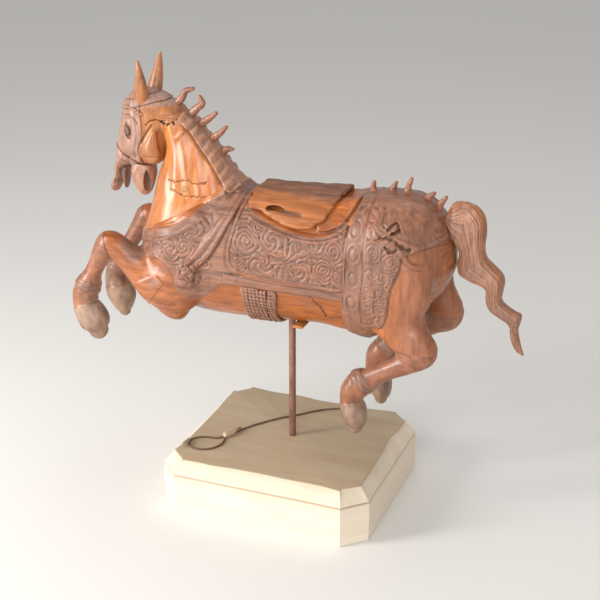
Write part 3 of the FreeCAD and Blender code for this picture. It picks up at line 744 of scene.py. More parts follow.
MANE_AREA = MANE_EDGE + [(-30, 372), (-60, 420), (-90, 470)]
HEAD_CRACK = [(-162, 430), (-154, 433), (-146, 431), (-138, 429), (-128, 431), (-122, 426)]
PETALS = 7
CRACK_DEPTH = 1.3


def oval_ring(x, z, at, wide, tall):
    return np.hypot((x - at[0]) / wide, (z - at[1]) / tall)


def fine_line(x, z, points):
    """Distance from a crack, which wanders a little."""
    wander = 0.5 * np.sin(0.9 * x + 0.4 * z) + 0.4 * np.sin(0.37 * x - 1.1 * z)
    return line_distance(x + 0.4 * wander, z + wander, points, 4)


def collar_carving(x, z):
    height = 2.0 * step_up(-region(x, z, COLLAR_AREA), 0, 2)
    height += 0.7 * step_up(-region(x, z, SKIRT_AREA), 0, 2)
    for line in (COLLAR_TOP, COLLAR_LINE):
        height += ridge(line_distance(x, z, line), 2.4, 1.0)
    for line in COLLAR_STRAPS:
        height += ridge(line_distance(x, z, line), 3.0, 1.1)
    inside = region(x, z, COLLAR_PANEL)
    height += step_up(-inside, 0, 2) * (0.65 * swirls(x, z, COLLAR_SWIRLS) - 0.6)
    return height + groove(np.abs(inside), 1.3, 0.8)


def rosette_carving(x, z):
    u = x + 2.0 * bumps(x, 0.0, z, (8, 8, 8), 33)
    w = z + 2.0 * bumps(x, 0.0, z, (8, 8, 8), 34)
    r = oval_ring(u, w, ROSETTE, 13, 18)
    turn = np.arctan2((w - ROSETTE[1]) / 18, (u - ROSETTE[0]) / 13)
    petals = np.abs(np.sin(PETALS * (turn + 1.1 * r) / 2)) ** 0.6
    inner = np.abs(np.sin((PETALS - 2) * (turn - 0.8 * r) / 2)) ** 0.6
    lift = np.where(r < 0.5, 1.6 + 1.3 * inner, 0.4 + 1.6 * petals)
    height = lift * step_up(1.05 - r, 0, 0.25)
    height += ridge(r, 0.22, 1.2) + groove(r - 0.5, 0.07, 0.9)
    curls = swirls(x, z, SIDE_CURLS)
    for cx, cz, size, tightness, arms, phase in SIDE_CURLS:
        height += 0.8 * curls * step_up(size - np.hypot(x - cx, z - cz), 0, 1.5)
    return height


def cloth_carving(x, z):
    cloth = region(x, z, CLOTH_AREA)
    height = 1.4 * step_up(-cloth, 0, 1.5)
    height += step_up(-cloth, 3, 5) * 0.75 * swirls(x, z, CLOTH_SWIRLS)
    piping = line_distance(x, z, CLOTH_PIPING)
    height += ridge(piping, 2.3, 1.9) + groove(line_distance(x + 4.5, z + 4.0, CLOTH_PIPING), 1.2, 0.9)
    for line in RIM_LINES:
        height += ridge(line_distance(x, z, line), 2.0, 1.3)
    height += 3.6 * step_up(-region(x, z, CANTLE_AREA), 0, 3)
    band = region(x, z, SKIRT_BAND, 1)
    height += 1.6 * step_up(-band, 0, 1) + groove(z - 270.5 - 0.01 * x, 0.8, 0.5) * step_up(-band, 0, 1)
    return height


def croup_carving(x, z):
    area = region(x, z, CROUP_AREA)
    height = 1.8 * step_up(-area, 0, 2)
    for line in (CROUP_FRONT, CROUP_INNER):
        height += groove(line_distance(x, z, line), 1.4, 0.9)
    for at in MEDALLIONS:
        r = oval_ring(x, z, at, 8.5, 12)
        height += ridge(r, 0.45, 0.8) + ridge(r - 0.85, 0.18, 0.5) + groove(r - 0.6, 0.12, 0.35)
    scrolls = region(x, z, CROUP_PANEL)
    height += step_up(-scrolls, 0, 2.5) * (0.6 * swirls(x, z, CROUP_SWIRLS) - 0.2)
    for line in CROUP_STRAPS:
        height += ridge(line_distance(x, z, line), 2.4, 1.5)
    for line in CHIPS:
        height += groove(fine_line(x, z, line), 1.9, 2.6)
    return height


def neck_carving(x, z):
    height = ridge(line_distance(x, z, NECK_STRAP), 3.0, 1.3) * step_up(z, 405, 412)
    edge = line_distance(x, z, MANE_EDGE)
    behind = region(x, z, MANE_AREA)
    height += groove(edge, 1.6, 1.3) + 1.2 * step_up(-behind, 0, 2)
    height += 0.8 * step_up(-behind, 1, 3) * np.cos(0.55 * (x - 0.5 * z))
    folds = np.sin(0.42 * x + 0.05 * z + 0.8 * np.sin(0.03 * z))
    height += 0.35 * folds * step_up(z, 345, 360) * step_up(-z, -440, -425)
    return height


def body_carving(x, z):
    """Heights of everything carved on a flank, for the near and the far side alike."""
    height = (collar_carving(x, z) + rosette_carving(x, z) + cloth_carving(x, z) + croup_carving(x, z)
              + neck_carving(x, z))
    return height * step_up(line_distance(x, z, [row[:2] for row in FORE_LEFT]), 16, 24)


def near_side_cracks(x, z):
    height = 0
    for line in NECK_CRACKS:
        height = height + groove(fine_line(x, z, line), 0.9, CRACK_DEPTH)
    return height + groove(fine_line(x, z, BELLY_CRACK), 1.0, 1.8)


def body_patina(x, z):
    """0 where the wood is rubbed bright, 1 where grey patina lies."""
    areas = [COLLAR_AREA, SKIRT_AREA, CLOTH_AREA, CROUP_AREA, GIRTH_AREA, SKIRT_BAND, MANE_AREA]
    patina_and_top_shade = 0.45 * step_up(x, 128, 150) + 0.3 * step_up(-x, 96, 106) * step_up(-z, -300, -280)
    for area in areas:
        patina_and_top_shade = np.maximum(patina_and_top_shade, step_up(-region(x, z, area), -1.5, 2))
    rubbed = (0.45 * step_up(-region(x, z, CANTLE_AREA), -1, 2)
              + 0.2 * step_up(z, 330, 350) * step_up(x, 92, 100))
    return np.clip(patina_and_top_shade - rubbed, 0, 1)


# ---------------------------------------------------------------- sculpting the blocks

pieces = {}


def read_picture(block, picture, verts):
    i = np.clip(np.rint((verts[:, 0] - block.axes[0][0]) / block.step).astype(int), 0, picture.shape[0] - 1)
    k = np.clip(np.rint((verts[:, 2] - block.axes[2][0]) / block.step).astype(int), 0, picture.shape[1] - 1)
    return picture[i, k]


def grow(low, high, step, forms):
    block = Block(low, high, step)
    for form, blend in forms:
        block.add(form, blend)
    facing = block.even_out()
    return block, step_up(facing, 0.15, 0.45)


def raise_by(block, height, facing):
    """Moves the surface out by a picture of heights, where it faces sideways."""
    block.field -= (flat(height) * facing).astype(np.float32)


def roughen(block, amount, size, seed):
    x, y, z = block.grids(block.part([-1e3] * 3, [1e3] * 3))
    block.field -= (amount * bumps(x, y, z, size, seed)).astype(np.float32)


def plane_field(block, point, normal):
    x, y, z = block.grids(block.part([-1e3] * 3, [1e3] * 3))
    return (x - point[0]) * normal[0] + (y - point[1]) * normal[1] + (z - point[2]) * normal[2]


def form_field(block, form):
    return form[0](*block.grids(block.part([-1e3] * 3, [1e3] * 3)))


def crop(verts, quads, planes):
    """Only the quads near the inner side of every plane, so that cutting is quick."""
    middle = verts[quads].mean(1)
    near = np.ones(len(quads), bool)
    for point, normal in planes:
        near &= (middle - np.array(point)) @ np.array(normal) < 4
    quads = quads[near]
    used, back = np.unique(quads, return_inverse=True)
    return verts[used], back.reshape(quads.shape)


def add_layer(mesh, label, values):
    """Stores a number on every vertex, for the materials to read."""
    layer = mesh.attributes.new(label, "FLOAT", "POINT")
    layer.data.foreach_set("value", values.astype(np.float32))


def install(piece, name, body="horse"):
    """Makes a piece ride on a body in place of the CAD node of that name."""
    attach(piece, body)
    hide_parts(name)
    pieces[name] = piece


def near_side(block, facing):
    near = facing.copy()
    near[:, block.axes[1] > 0, :] = 0
    return near


def hollow_shade(height, cracks):
    """Painted shade on a carved flank: 0 on high wood, towards 1 in its hollows and cracks."""
    shade_and_joint_line = 0.9 * np.clip((soften(height, int(3 / VOXEL)) - height) / 1.2 - 0.08, 0, 1)
    return np.maximum(shade_and_joint_line, -0.6 * cracks)


def finish_piece(name, block, mesh, planes, heart, patina_and_top_shade=None, shade_and_joint_line=None):
    """Cuts one block out of a mesh and makes it stand for its CAD node."""
    verts, quads = crop(*mesh, planes)
    bm = cut_block(verts, quads, planes, heart)
    data = bpy.data.meshes.new(name)
    bm.to_mesh(data)
    bm.free()
    co = np.zeros(len(data.vertices) * 3)
    data.vertices.foreach_get("co", co)
    co = co.reshape(-1, 3)
    for label, picture in (("patina_and_top_shade", patina_and_top_shade), ("shade_and_joint_line", shade_and_joint_line)):
        add_layer(data, label, np.zeros(len(co)) if picture is None else read_picture(block, picture, co))
    data.vertices.foreach_set("co", (co * MM).ravel())
    data.polygons.foreach_set("use_smooth", [True] * len(data.polygons))
    piece = bpy.data.objects.new(name, data)
    bpy.context.scene.collection.objects.link(piece)
    install(piece, name)


def leg_region(block, joint, line, y, margin):
    """Negative where the wood belongs to a leg beyond a joint and not to the body."""
    point, normal = beyond(joint)
    return np.maximum(plane_field(block, point, normal), form_field(block, limb(line, y)) - margin)


def shifted(plane, way):
    point, normal = plane
    return point + normal * way, normal


def sculpt_body():
    forms = BODY_FORMS + LEG_ROOTS
    block, facing = grow((-192, -64, 200), (196, 64, 392), VOXEL, forms)
    x, z = block.side_view()
    height = body_carving(x, z)
    raise_by(block, height, facing)
    cracks = near_side_cracks(x, z)
    raise_by(block, cracks, near_side(block, facing))
    roughen(block, 0.25, (9, 6, 5), 1)
    seat = np.maximum(-plane_field(block, SEAT_POINT, SEAT_UP), plane_field(block, (-56, 0, 0), AHEAD))
    block.field = np.maximum(block.field, -seat)
    for joint, line, y, margin in (("elbow_left", FORE_LEFT, -FORE_Y, 5),
                                   ("elbow_right", FORE_RIGHT, FORE_Y, 5),
                                   ("hock_left", HIND_LEFT, -HIND_Y, 7),
                                   ("hock_right", HIND_RIGHT, HIND_Y, 7)):
        block.field = np.maximum(block.field, -leg_region(block, joint, line, y, margin))
    mesh = block.surface()
    patina_and_top_shade = body_patina(x, z)
    # Painted shade in the carved hollows and cracks of the body
    shade_and_joint_line = hollow_shade(height, cracks)
    look = {"block": block, "mesh": mesh, "patina_and_top_shade": patina_and_top_shade, "shade_and_joint_line": shade_and_joint_line}
    front = ((CHEST_JOINT, 0, 0), AHEAD)
    rear = ((CROUP_JOINT, 0, 0), -AHEAD)
    left = ((0, -CORE_HALF, 0), OUT)
    right = ((0, CORE_HALF, 0), -OUT)
    core = [((0, -CORE_HALF, 0), -OUT), ((0, CORE_HALF, 0), OUT)]
    finish_piece("shoulder_left", planes=[front, left], heart=(-120, -48, 270), **look)
    finish_piece("shoulder_right", planes=[front, right], heart=(-120, 48, 270), **look)
    finish_piece("chest_core", planes=[front] + core, heart=(-120, 0, 213), **look)
    finish_piece("barrel", planes=[((CHEST_JOINT, 0, 0), -AHEAD), ((CROUP_JOINT, 0, 0), AHEAD)],
                 heart=(0, -52, 280), **look)
    finish_piece("croup_core", planes=[rear] + core, heart=(120, 0, 376), **look)
    finish_piece("haunch_left", planes=[rear, left], heart=(130, -52, 280), **look)
    finish_piece("haunch_right", planes=[rear, right], heart=(130, 52, 280), **look)


def sculpt_neck_and_head():
    forms = BODY_FORMS[:2] + HEAD_FORMS
    block, facing = grow((-230, -44, 285), (-40, 44, 470), VOXEL * 0.8, forms)
    x, z = block.side_view()
    head = region(x, z, HEAD_SIDE)
    height = np.where(head > -1, neck_carving(x, z) + collar_carving(x, z), 0)
    raise_by(block, height, facing)
    cracks = near_side_cracks(x, z)
    raise_by(block, cracks, near_side(block, facing))
    patina_and_top_shade = body_patina(x, z)
    # Painted shade in the carved hollows and cracks of the neck
    shade_and_joint_line = hollow_shade(height, cracks)
    block.field = np.maximum(block.field, -flat(head))
    finish_piece("neck", block, block.surface(), [shifted((SEAT_POINT, -SEAT_UP), NECK_LAP)], (-120, 0, 400),
                 patina_and_top_shade, shade_and_joint_line)


def sculpt_head():
    block, facing = grow((-228, -28, 334), (-120, 28, 470), VOXEL * 0.6, BODY_FORMS[1:2] + HEAD_FORMS)
    x, z = block.side_view()
    block.field = np.maximum(block.field, flat(region(x, z, HEAD_SIDE)))
    wrap, flank, patina_and_top_shade = head_carving(x, z)
    block.field -= flat(wrap).astype(np.float32)
    raise_by(block, flank, facing)
    for form, blend in HEAD_HOLLOWS:
        block.carve(form, blend)
    for form, blend in HEAD_BUMPS:
        block.add(form, blend)
    height = wrap + flank
    # Painted shade in the carved hollows, the eye, the mouth corner and the teeth
    shade_and_joint_line = np.clip((soften(height, int(3 / VOXEL)) - height) / 1.0 + head_shade(x, z), 0, 1)
    finish_piece("head", block, block.surface(), [], (-180, 0, 440), patina_and_top_shade, shade_and_joint_line)


def sculpt_jaw():
    block, _ = grow((-204, -14, 334), (-160, 14, 388), VOXEL * 0.6,
                    [(cushion(JAW_SIDE, JAW_WIDTH, JAW_ROUND), 1)])
    x, z = block.side_view()
    hollow = region(x, z, JAW_HOLLOW)
    y = block.axes[1][None, :, None]
    block.field = np.maximum(block.field, -np.maximum(flat(hollow), 3.5 - np.abs(y)))
    block.field = np.maximum(block.field, -flat(region(x, z, HEAD_SIDE)))
    # Painted shade in the jaw's hollow
    shade_and_joint_line = step_up(-hollow, -1.5, 1)
    patina_and_top_shade = np.full_like(x, 0.7)
    finish_piece("lower_jaw", block, block.surface(), [], (-190, 0, 355), patina_and_top_shade, shade_and_joint_line)


def sculpt_ears():
    for side, stations, sign in (("left", mirrored(EAR), 1), ("right", EAR, -1)):
        low, high = (((-190, -34, 448), (-150, -4, 500)) if side == "left"
                     else ((-190, 4, 448), (-150, 34, 500)))
        block, _ = grow(low, high, VOXEL * 0.6, [(limb(stations), 1)])
        hollow = [row[:4] + (sign * row[4],) for row in EAR_HOLLOW]
        block.carve(limb(hollow), 1.5)
        finish_piece("ear_" + side, block, block.surface(), [], (-168, stations[2][4], 480))


def sculpt_tail():
    block, facing = grow((166, -18, 204), (270, 18, 380), VOXEL * 0.7,
                         [(cushion(TAIL_SIDE, TAIL_WIDTH, TAIL_ROUND), 1)])
    x, z = block.side_view()
    inner = line_distance(x, z, TAIL_INNER)
    outer = line_distance(x, z, TAIL_OUTER)
    strand = inner / (inner + outer + 1e-3)
    strand = strand + 0.03 * bumps(x, 0.0, z, (20, 20, 20), 41)
    height = 0.9 * np.abs(np.sin(TAIL_STRANDS * math.pi * strand)) - 0.5
    height += 0.35 * np.sin(31 * math.pi * strand)
    raise_by(block, height, facing)
    # Painted shade in the grooves between strands, and darker towards the bottom on the inner side of the
    # tail
    shade_and_joint_line = 0.4 * np.clip(-0.1 - height, 0, 1) + 0.4 * step_up(-z, -300, -250) * step_up(-strand, -0.8, -0.6)
    patina_and_top_shade = np.clip(0.75 - 0.7 * step_up(strand, 0.72, 0.95) + 0.2 * np.sin(40 * strand), 0, 1)
    finish_piece("tail", block, block.surface(), [], (200, 0, 340), patina_and_top_shade, shade_and_joint_line)


def sculpt_leg(side, line, foot, y, upper, lower, hoof, joints, low, high):
    """One leg's blocks from a single field, cut at its joints. upper is None for a hind leg."""
    block, _ = grow(low, high, VOXEL * 0.8, BODY_FORMS + LEG_ROOTS + [(limb(foot, y), 4)])
    x, z = block.side_view()
    knee, fetlock = joints
    point, normal = JOINTS[fetlock]
    down = (x - point.x) * normal.x + (z - point.z) * normal.z
    cuff = step_up(down, -15, -13.5) * step_up(-down, 2, 3.5) * 0.9
    cuff += groove(down + 9, 0.8, 0.6) + groove(down, 1.2, 0.5)
    toe = coronet_side(x, z, foot)
    block.field -= flat(cuff + 0.8 * step_up(toe, -0.5, 1)).astype(np.float32)
    roughen(block, 0.25, (9, 6, 5), 1)
    whole = block.field
    if upper:
        own = leg_region(block, "elbow_" + side, line, y, 5)
        own = np.maximum(own - SEAM_LAP, plane_field(block, *JOINTS[knee]))
        block.field = np.maximum(whole, own)
        finish_piece(upper, block, block.surface(), [], (JOINTS[knee][0].x + 20, y, JOINTS[knee][0].z - 14),
                     body_patina(x, z))
    reach = np.minimum(form_field(block, limb(line, y)), form_field(block, limb(foot, y))) - 7 - SEAM_LAP
    block.field = np.maximum(whole, reach)
    mesh = block.surface()
    point = JOINTS[fetlock][0]
    grey = 0.3 + 0.4 * step_up(down, -18, -12) + 0.4 * step_up(-down, -110, -60)
    finish_piece(lower, block, mesh, [shifted(beyond(knee), SEAM_LAP), JOINTS[fetlock]],
                 ((point.x + JOINTS[knee][0].x) / 2, y, (point.z + JOINTS[knee][0].z) / 2), grey)
    finish_piece(hoof, block, mesh, [beyond(fetlock)], (foot[3][0], y, foot[3][1]), step_up(toe, -1.5, 3))


def coronet_side(x, z, foot):
    """How far towards the toe a point is from the line where hair meets hoof."""
    top, toe = np.array(foot[-4][:2]), np.array(foot[-1][:2])
    way = (toe - top) / np.linalg.norm(toe - top)
    return (x - top[0]) * way[0] + (z - top[1]) * way[1]


# ---------------------------------------------------------------- head, saddle and trimmings

JAW_HOLLOW = [(-172, 371), (-169, 360), (-170, 350), (-174, 345), (-177, 350), (-176, 361)]
TEETH_SIDE = [(-208, 369), (-206.5, 354), (-203.5, 344.5), (-201, 350), (-200, 360), (-199, 371)]
CHEEK_STRAP = [(-181, 466), (-178, 444), (-176, 420), (-179, 400), (-183, 384), (-186, 374)]
NOSE_STRAP = [(-218, 399), (-205, 391), (-196, 384), (-187, 378)]
BROW_STRAP = [(-204, 444), (-189, 447), (-173, 451), (-157, 456), (-146, 458)]
JOWL_EDGE = [(-158, 426), (-168, 412), (-176, 396), (-175, 381)]
BROW_LINES = [[(-192, 444), (-184, 444), (-176, 442), (-169, 438)],
              [(-196, 433), (-188, 434), (-182, 433), (-176, 428)]]
TAIL_INNER = [(172, 350), (177, 338), (184, 328), (190, 318), (188, 305), (190, 294), (203, 287), (219, 281),
              (220.5, 269), (225, 258), (236, 250), (247, 243), (249, 230), (254, 218), (262, 210)]
TAIL_OUTER = [(176, 362), (190, 374), (203, 372), (216, 358), (218, 344), (217, 328), (219.5, 316),
              (228, 308), (240, 293), (238, 271), (252, 260), (260, 256), (257.5, 238), (262, 220),
              (265, 210.5)]
TAIL_STRANDS = 6
MANE_LOCKS = [[(-141, 444), (-130, 455), (-125, 463), (-116, 466.5)],
              [(-123, 434), (-112, 445), (-105, 451), (-108, 458.5)],
              [(-114, 424), (-99, 434), (-89, 441.5)],
              [(-102, 407), (-87, 418), (-77, 427)],
              [(-90, 391), (-78, 402), (-70, 403)]]
CROUP_SPIKES = [[(95, 371), (93, 377), (94, 384)], [(116, 371), (115, 379), (118, 386)],
                [(133, 370), (131, 380), (135, 392)], [(151, 364), (154, 374), (160, 379)],
                [(162, 355), (167, 368), (173, 376)]]
SADDLE_FLAP = [(-36, 352), (-37, 366), (-34, 384), (-28, 402), (30, 404), (72, 402), (71, 386), (63, 366),
               (53, 350), (43, 341), (25, 338), (6, 341), (-8, 346), (-22, 349.5)]
SADDLE_SLIT = [(-12, 353.5, 2.0, 5), (-3, 354.5, 2.4, 5), (9, 353, 1.4, 4), (26, 352, 0.6, 3)]
SADDLE_RISE = 8.0
GIRTH_RISE = 3.0


def pair(stations):
    return [limb(stations), limb(mirrored(stations))]


def both(groups, blend):
    return [(form, blend) for stations in groups for form in pair(stations)]


HEAD_HOLLOWS = both([[(-190.5, 424.5, 2.6, 3.0, 20), (-189, 418, 4.4, 4.0, 21), (-187, 411, 3.0, 3.2, 20.5)],
                     [(-213, 359, 1.6, 2.0, 12.5), (-212, 355, 2.6, 3.0, 12), (-213, 351, 1.6, 2.0, 11)]],
                    1.5)
HEAD_BUMPS = both([[(-189.5, 420, 2.6, 3.0, 17.6), (-188, 415, 2.6, 3.0, 18)]], 1.0)
HEAD_BUMPS += both([[(-157, 417, 3, 3, 19), (-161, 402, 9, 5, 18.5), (-162, 393, 11.5, 6, 17),
                     (-162, 390, 9, 5, 16)]],
                   3.0)
HEAD_BUMPS += [(cushion(TEETH_SIDE, table(1, [(340, 6), (372, 8)]), table(1, [(340, 2.5), (372, 3)])), 0.6)]


def head_carving(x, z):
    """Heights that go all round the head, heights on its cheeks alone, and its patina."""
    wrap = 1.2 * step_up(-np.abs(line_distance(x, z, NOSE_STRAP)), -3.8, -2.8)
    wrap += groove(np.abs(line_distance(x, z, NOSE_STRAP) - 4.2), 0.9, 0.8)
    brow = line_distance(x, z, BROW_STRAP)
    wrap += 1.1 * step_up(-brow, -4.6, -3.6) + groove(brow - 5, 0.9, 0.6)
    cheek = line_distance(x, z, CHEEK_STRAP)
    flank = 1.2 * step_up(-cheek, -7, -5.5) + groove(cheek, 0.8, 0.5)
    flank += groove(line_distance(x, z, JOWL_EDGE), 1.6, 1.4)
    for line in BROW_LINES:
        flank += ridge(line_distance(x, z, line), 1.7, 1.4)
    flank += groove(fine_line(x, z, HEAD_CRACK), 0.9, 1.6)
    for hole in ((-164, 427), (-148, 430), (-139, 428)):
        flank += groove(np.hypot(x - hole[0], z - hole[1]), 1.2, 2.2)
    patina_and_top_shade = np.maximum(step_up(-cheek, -8, -4), step_up(-brow, -9, -4))
    patina_and_top_shade = np.maximum(patina_and_top_shade, step_up(-line_distance(x, z, NOSE_STRAP), -8, -3))
    patina_and_top_shade = np.maximum(patina_and_top_shade, 0.85 * step_up(-x, 176, 188))
    patina_and_top_shade = np.maximum(patina_and_top_shade, step_up(z, 444, 450))
    rubbed = step_up(-np.hypot(x + 161, (z - 400) / 1.4), -14, -11)
    rubbed = np.maximum(rubbed, step_up(-np.hypot((x + 136) / 1.8, z - 440), -10, -7))
    return wrap, flank, patina_and_top_shade * (1 - rubbed)


def head_shade(x, z):
    shade = step_up(-np.hypot((x + 188.5) / 0.72, z - 418), -9.5, -6)
    shade = np.maximum(shade, 0.9 * step_up(-np.hypot(x + 212, z - 355), -4.5, -2))
    return np.maximum(shade, step_up(-region(x, z, TEETH_SIDE), -0.5, 1))


def taper(points, foot, width):
    rows = []
    for i, (x, z) in enumerate(points):
        t = i / (len(points) - 1)
        rows.append((x, z, foot * (1 - 0.55 * t ** 1.5), width * (1 - 0.3 * t)))
    return rows


def sculpt_horns(name, rows, foot, width, low, high):
    """Separate little horns, joined into one piece as they share a CAD node."""
    block = Block(low, high, VOXEL * 0.5)
    for points in rows:
        block.add(limb(taper(points, foot, width)), 0.1)
    block.even_out(2.0)
    roughen(block, 0.35, (3, 3, 3), 5)
    verts, quads = block.surface()
    piece = mesh_object(name, verts, quads)
    add_layer(piece.data, "patina_and_top_shade", np.full(len(verts), 0.7))
    install(piece, name)


def sculpt_saddle():
    block, _ = grow((-44, -60, 330), (80, 60, 384), VOXEL * 0.9, BODY_FORMS[:1])
    body = block.field.copy()
    x, z = block.side_view()
    block.field -= SADDLE_RISE
    flap = flat(region(x, z, SADDLE_FLAP))
    block.field = -smooth_min(-block.field, -flap, 6.0)
    for y in (-37, 37):
        block.carve(limb(SADDLE_SLIT, y), 1.0)
    roughen(block, 1.3, (26, 6, 5), 7)
    roughen(block, 0.6, (12, 3, 3), 8)
    block.field = np.maximum(block.field, 0.6 - body).astype(np.float32)
    # Painted shade in the slits of the saddle
    shade_and_joint_line = step_up(-along(x, z, curve_through(SADDLE_SLIT))[0], -3, -1)
    patina_and_top_shade = step_up(z + 0.02 * x, 362, 371)
    finish_piece("saddle_seat", block, block.surface(), [], (10, 0, 374), patina_and_top_shade, shade_and_joint_line)


def sculpt_girth():
    block, _ = grow((-46, -62, 202), (4, 62, 270), VOXEL * 0.8, BODY_FORMS[:1])
    body = block.field.copy()
    x, z = block.side_view()
    block.field -= GIRTH_RISE
    area = region(x, z, GIRTH_AREA)
    block.field = -smooth_min(-block.field, -flat(area), 2.5)
    block.field = np.maximum(block.field, flat(z - 264.5))
    knobs = np.sin(0.7 * (x + z)) * np.sin(0.7 * (x - z))
    height = 1.0 * knobs * step_up(-area, 3, 5) + groove(x + 12 - 0.12 * (z - 240), 1.0, 1.6)
    block.field -= flat(height).astype(np.float32)
    roughen(block, 0.8, (8, 6, 8), 9)
    block.field = np.maximum(block.field, 0.6 - body).astype(np.float32)
    # Its last value is painted shade in the groove and between the knobs
    finish_piece("girth_block", block, block.surface(), [], (-20, 0, 208), np.ones_like(x),
                 np.clip(-height, 0, 1))


def sculpt_legs():
    sculpt_leg("left", FORE_LEFT, FORE_LEFT_FOOT, -FORE_Y, "forearm_left", "fore_cannon_left",
               "fore_hoof_left", ("knee_left", "fore_fetlock_left"), (-266, -64, 168), (-126, -18, 312))
    sculpt_leg("right", FORE_RIGHT, FORE_RIGHT_FOOT, FORE_Y, "forearm_right", "fore_cannon_right",
               "fore_hoof_right", ("knee_right", "fore_fetlock_right"), (-272, 18, 160), (-124, 64, 322))
    sculpt_leg("left", HIND_LEFT, HIND_LEFT_FOOT, -HIND_Y, None, "hind_cannon_left", "hind_hoof_left",
               ("hock_left", "hind_fetlock_left"), (66, -62, 102), (188, -20, 250))
    sculpt_leg("right", HIND_RIGHT, HIND_RIGHT_FOOT, HIND_Y, None, "hind_cannon_right", "hind_hoof_right",
               ("hock_right", "hind_fetlock_right"), (68, 20, 100), (196, 62, 262))


sculpt_body()
sculpt_neck_and_head()
sculpt_head()
sculpt_jaw()
sculpt_ears()
sculpt_tail()
sculpt_legs()
sculpt_saddle()
sculpt_girth()
sculpt_horns("mane_locks", MANE_LOCKS, 4.9, 3.6, (-152, -8, 380), (-62, 8, 474))
sculpt_horns("croup_spikes", CROUP_SPIKES, 4.6, 3.2, (86, -8, 346), (182, 8, 397))


PLUG_AT = (-114.5, 360.0)
PLUG_RADIUS = 4.5
PLUG_PROFILE = [(-0.75, 0.6), (-0.5, 0.93), (0.1, 1.0), (14.0, 1.0)]


def plug_in_neck():
    """Round plug whose end stands a hair proud of the neck's near side."""
    forms = BODY_FORMS[:2]
    y = np.linspace(-45, 0, 451)[None, :, None]
    x = np.full((1, 1, 1), PLUG_AT[0])
    z = np.full((1, 1, 1), PLUG_AT[1])
    field = forms[0][0][0](x, y, z)
    field = smooth_min(field, forms[1][0][0](x, y, z), forms[1][1])
    skin = y[0, int(np.argmax(field[0, :, 0] < 0)), 0]
    bm = bmesh.new()
    line = [Vector((PLUG_AT[0] * MM, (skin + dy) * MM, PLUG_AT[1] * MM)) for dy, r in PLUG_PROFILE]
    sweep(bm, line, [PLUG_RADIUS * MM * r for dy, r in PLUG_PROFILE], 28)
    piece = object_from(bm, "neck_plug")
    install(piece, "neck_plug")


def batten():
    """The flat batten let in across the belly."""
    low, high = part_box("belly_plate")
    bm = bmesh.new()
    bmesh.ops.create_cube(bm, size=1.0)
    for vert in bm.verts:
        for k in range(3):
            vert.co[k] = low[k] + (vert.co[k] + 0.5) * (high[k] - low[k])
    bmesh.ops.bevel(bm, geom=bm.edges[:], offset=0.0006, segments=2, affect="EDGES", profile=0.5)
    piece = object_from(bm, "belly_plate", sharp=40)
    install(piece, "belly_plate")


# ---------------------------------------------------------------- plinth

HALF_X = 125.0
HALF_Y = 112.5
CORNER = 25.0
BOARD_JOINT = 48.0
CORNER_SHRINK = 0.585
BEVEL_FOOT = 49.5
SIDE_STEPS = 40
# Outlines of the two boards from below: z, inset, wander, seed
LOWER_LEVELS = [(0.0, 1.2, 0.3, 21), (1.0, 0.3, 0.3, 21), (16, 0.1, 0.3, 22), (32, 0.1, 0.3, 23),
                (46.6, 0.1, 0.4, 24), (48.0, 1.4, 0.5, 24)]
TOP_LEVELS = [(48.0, 1.4, 0.4, 25), (BEVEL_FOOT - 0.6, 0.4, 0.4, 25), (BEVEL_FOOT, 0.7, 0.5, 25),
              (56.5, 6.4, 2.0, 26), (62.9, 11.2, 4.6, 27), (63.7, 12.0, 4.8, 27), (64.0, 13.2, 4.8, 27)]


def octagon_ring(inset, wander, seed):
    """Outline of the plinth, moved in, with a hand-cut wander."""
    a, b, c = HALF_X - inset, HALF_Y - inset, CORNER - inset * CORNER_SHRINK
    corners = [(-a + c, -b), (a - c, -b), (a, -b + c), (a, b - c), (a - c, b), (-a + c, b), (-a, b - c),
               (-a, -b + c)]
    ring = []
    for i, start in enumerate(corners):
        end = corners[(i + 1) % 8]
        steps = SIDE_STEPS if i % 2 == 0 else 8
        length = math.hypot(end[0] - start[0], end[1] - start[1])
        nx, ny = (end[1] - start[1]) / length, -(end[0] - start[0]) / length
        for k in range(steps):
            t = k / steps
            x = start[0] + (end[0] - start[0]) * t
            y = start[1] + (end[1] - start[1]) * t
            fade = min(1.0, 8 * t, 8 * (1 - t))
            push = -abs(wander) * fade * float(0.5 + 0.5 * bumps(x, y, 0.0, (30, 30, 30), seed))
            ring.append((x + nx * push, y + ny * push))
    return ring


def board(name, levels):
    """Closed board from outlines: z, inset, wander, seed."""
    bm = bmesh.new()
    rings = []
    for z, inset, wander, seed in levels:
        rings.append([bm.verts.new((x * MM, y * MM, z * MM)) for x, y in octagon_ring(inset, wander, seed)])
    count = len(rings[0])
    for a, b in zip(rings, rings[1:]):
        for k in range(count):
            bm.faces.new((a[k], a[(k + 1) % count], b[(k + 1) % count], b[k]))
    bm.faces.new(rings[0][::-1])
    bm.faces.new(rings[-1])
    bmesh.ops.recalc_face_normals(bm, faces=bm.faces[:])
    piece = object_from(bm, name, sharp=22)
    heights = np.array([vert.co.z for vert in piece.data.vertices]) / MM
    # A dark line along the board joint, and painted shade on the top face
    for label, values in (("shade_and_joint_line", np.clip(1.1 - np.abs(heights - BOARD_JOINT) / 1.4, 0, 0.7)),
                          ("patina_and_top_shade", step_up(heights, 62.5, 63.8))):
        add_layer(piece.data, label, values)
    install(piece, name, "stand")


def build_plinth():
    board("plinth_lower_board", LOWER_LEVELS)
    board("plinth_top_board", TOP_LEVELS)


plug_in_neck()
batten()
build_plinth()

# ---------------------------------------------------------------- materials


def colour(hexcode):
    """Linear colour from the usual six hexadecimal digits."""
    parts = [int(hexcode[i:i + 2], 16) / 255 for i in (0, 2, 4)]
    return tuple(((c + 0.055) / 1.055) ** 2.4 if c > 0.04045 else c / 12.92 for c in parts) + (1.0,)


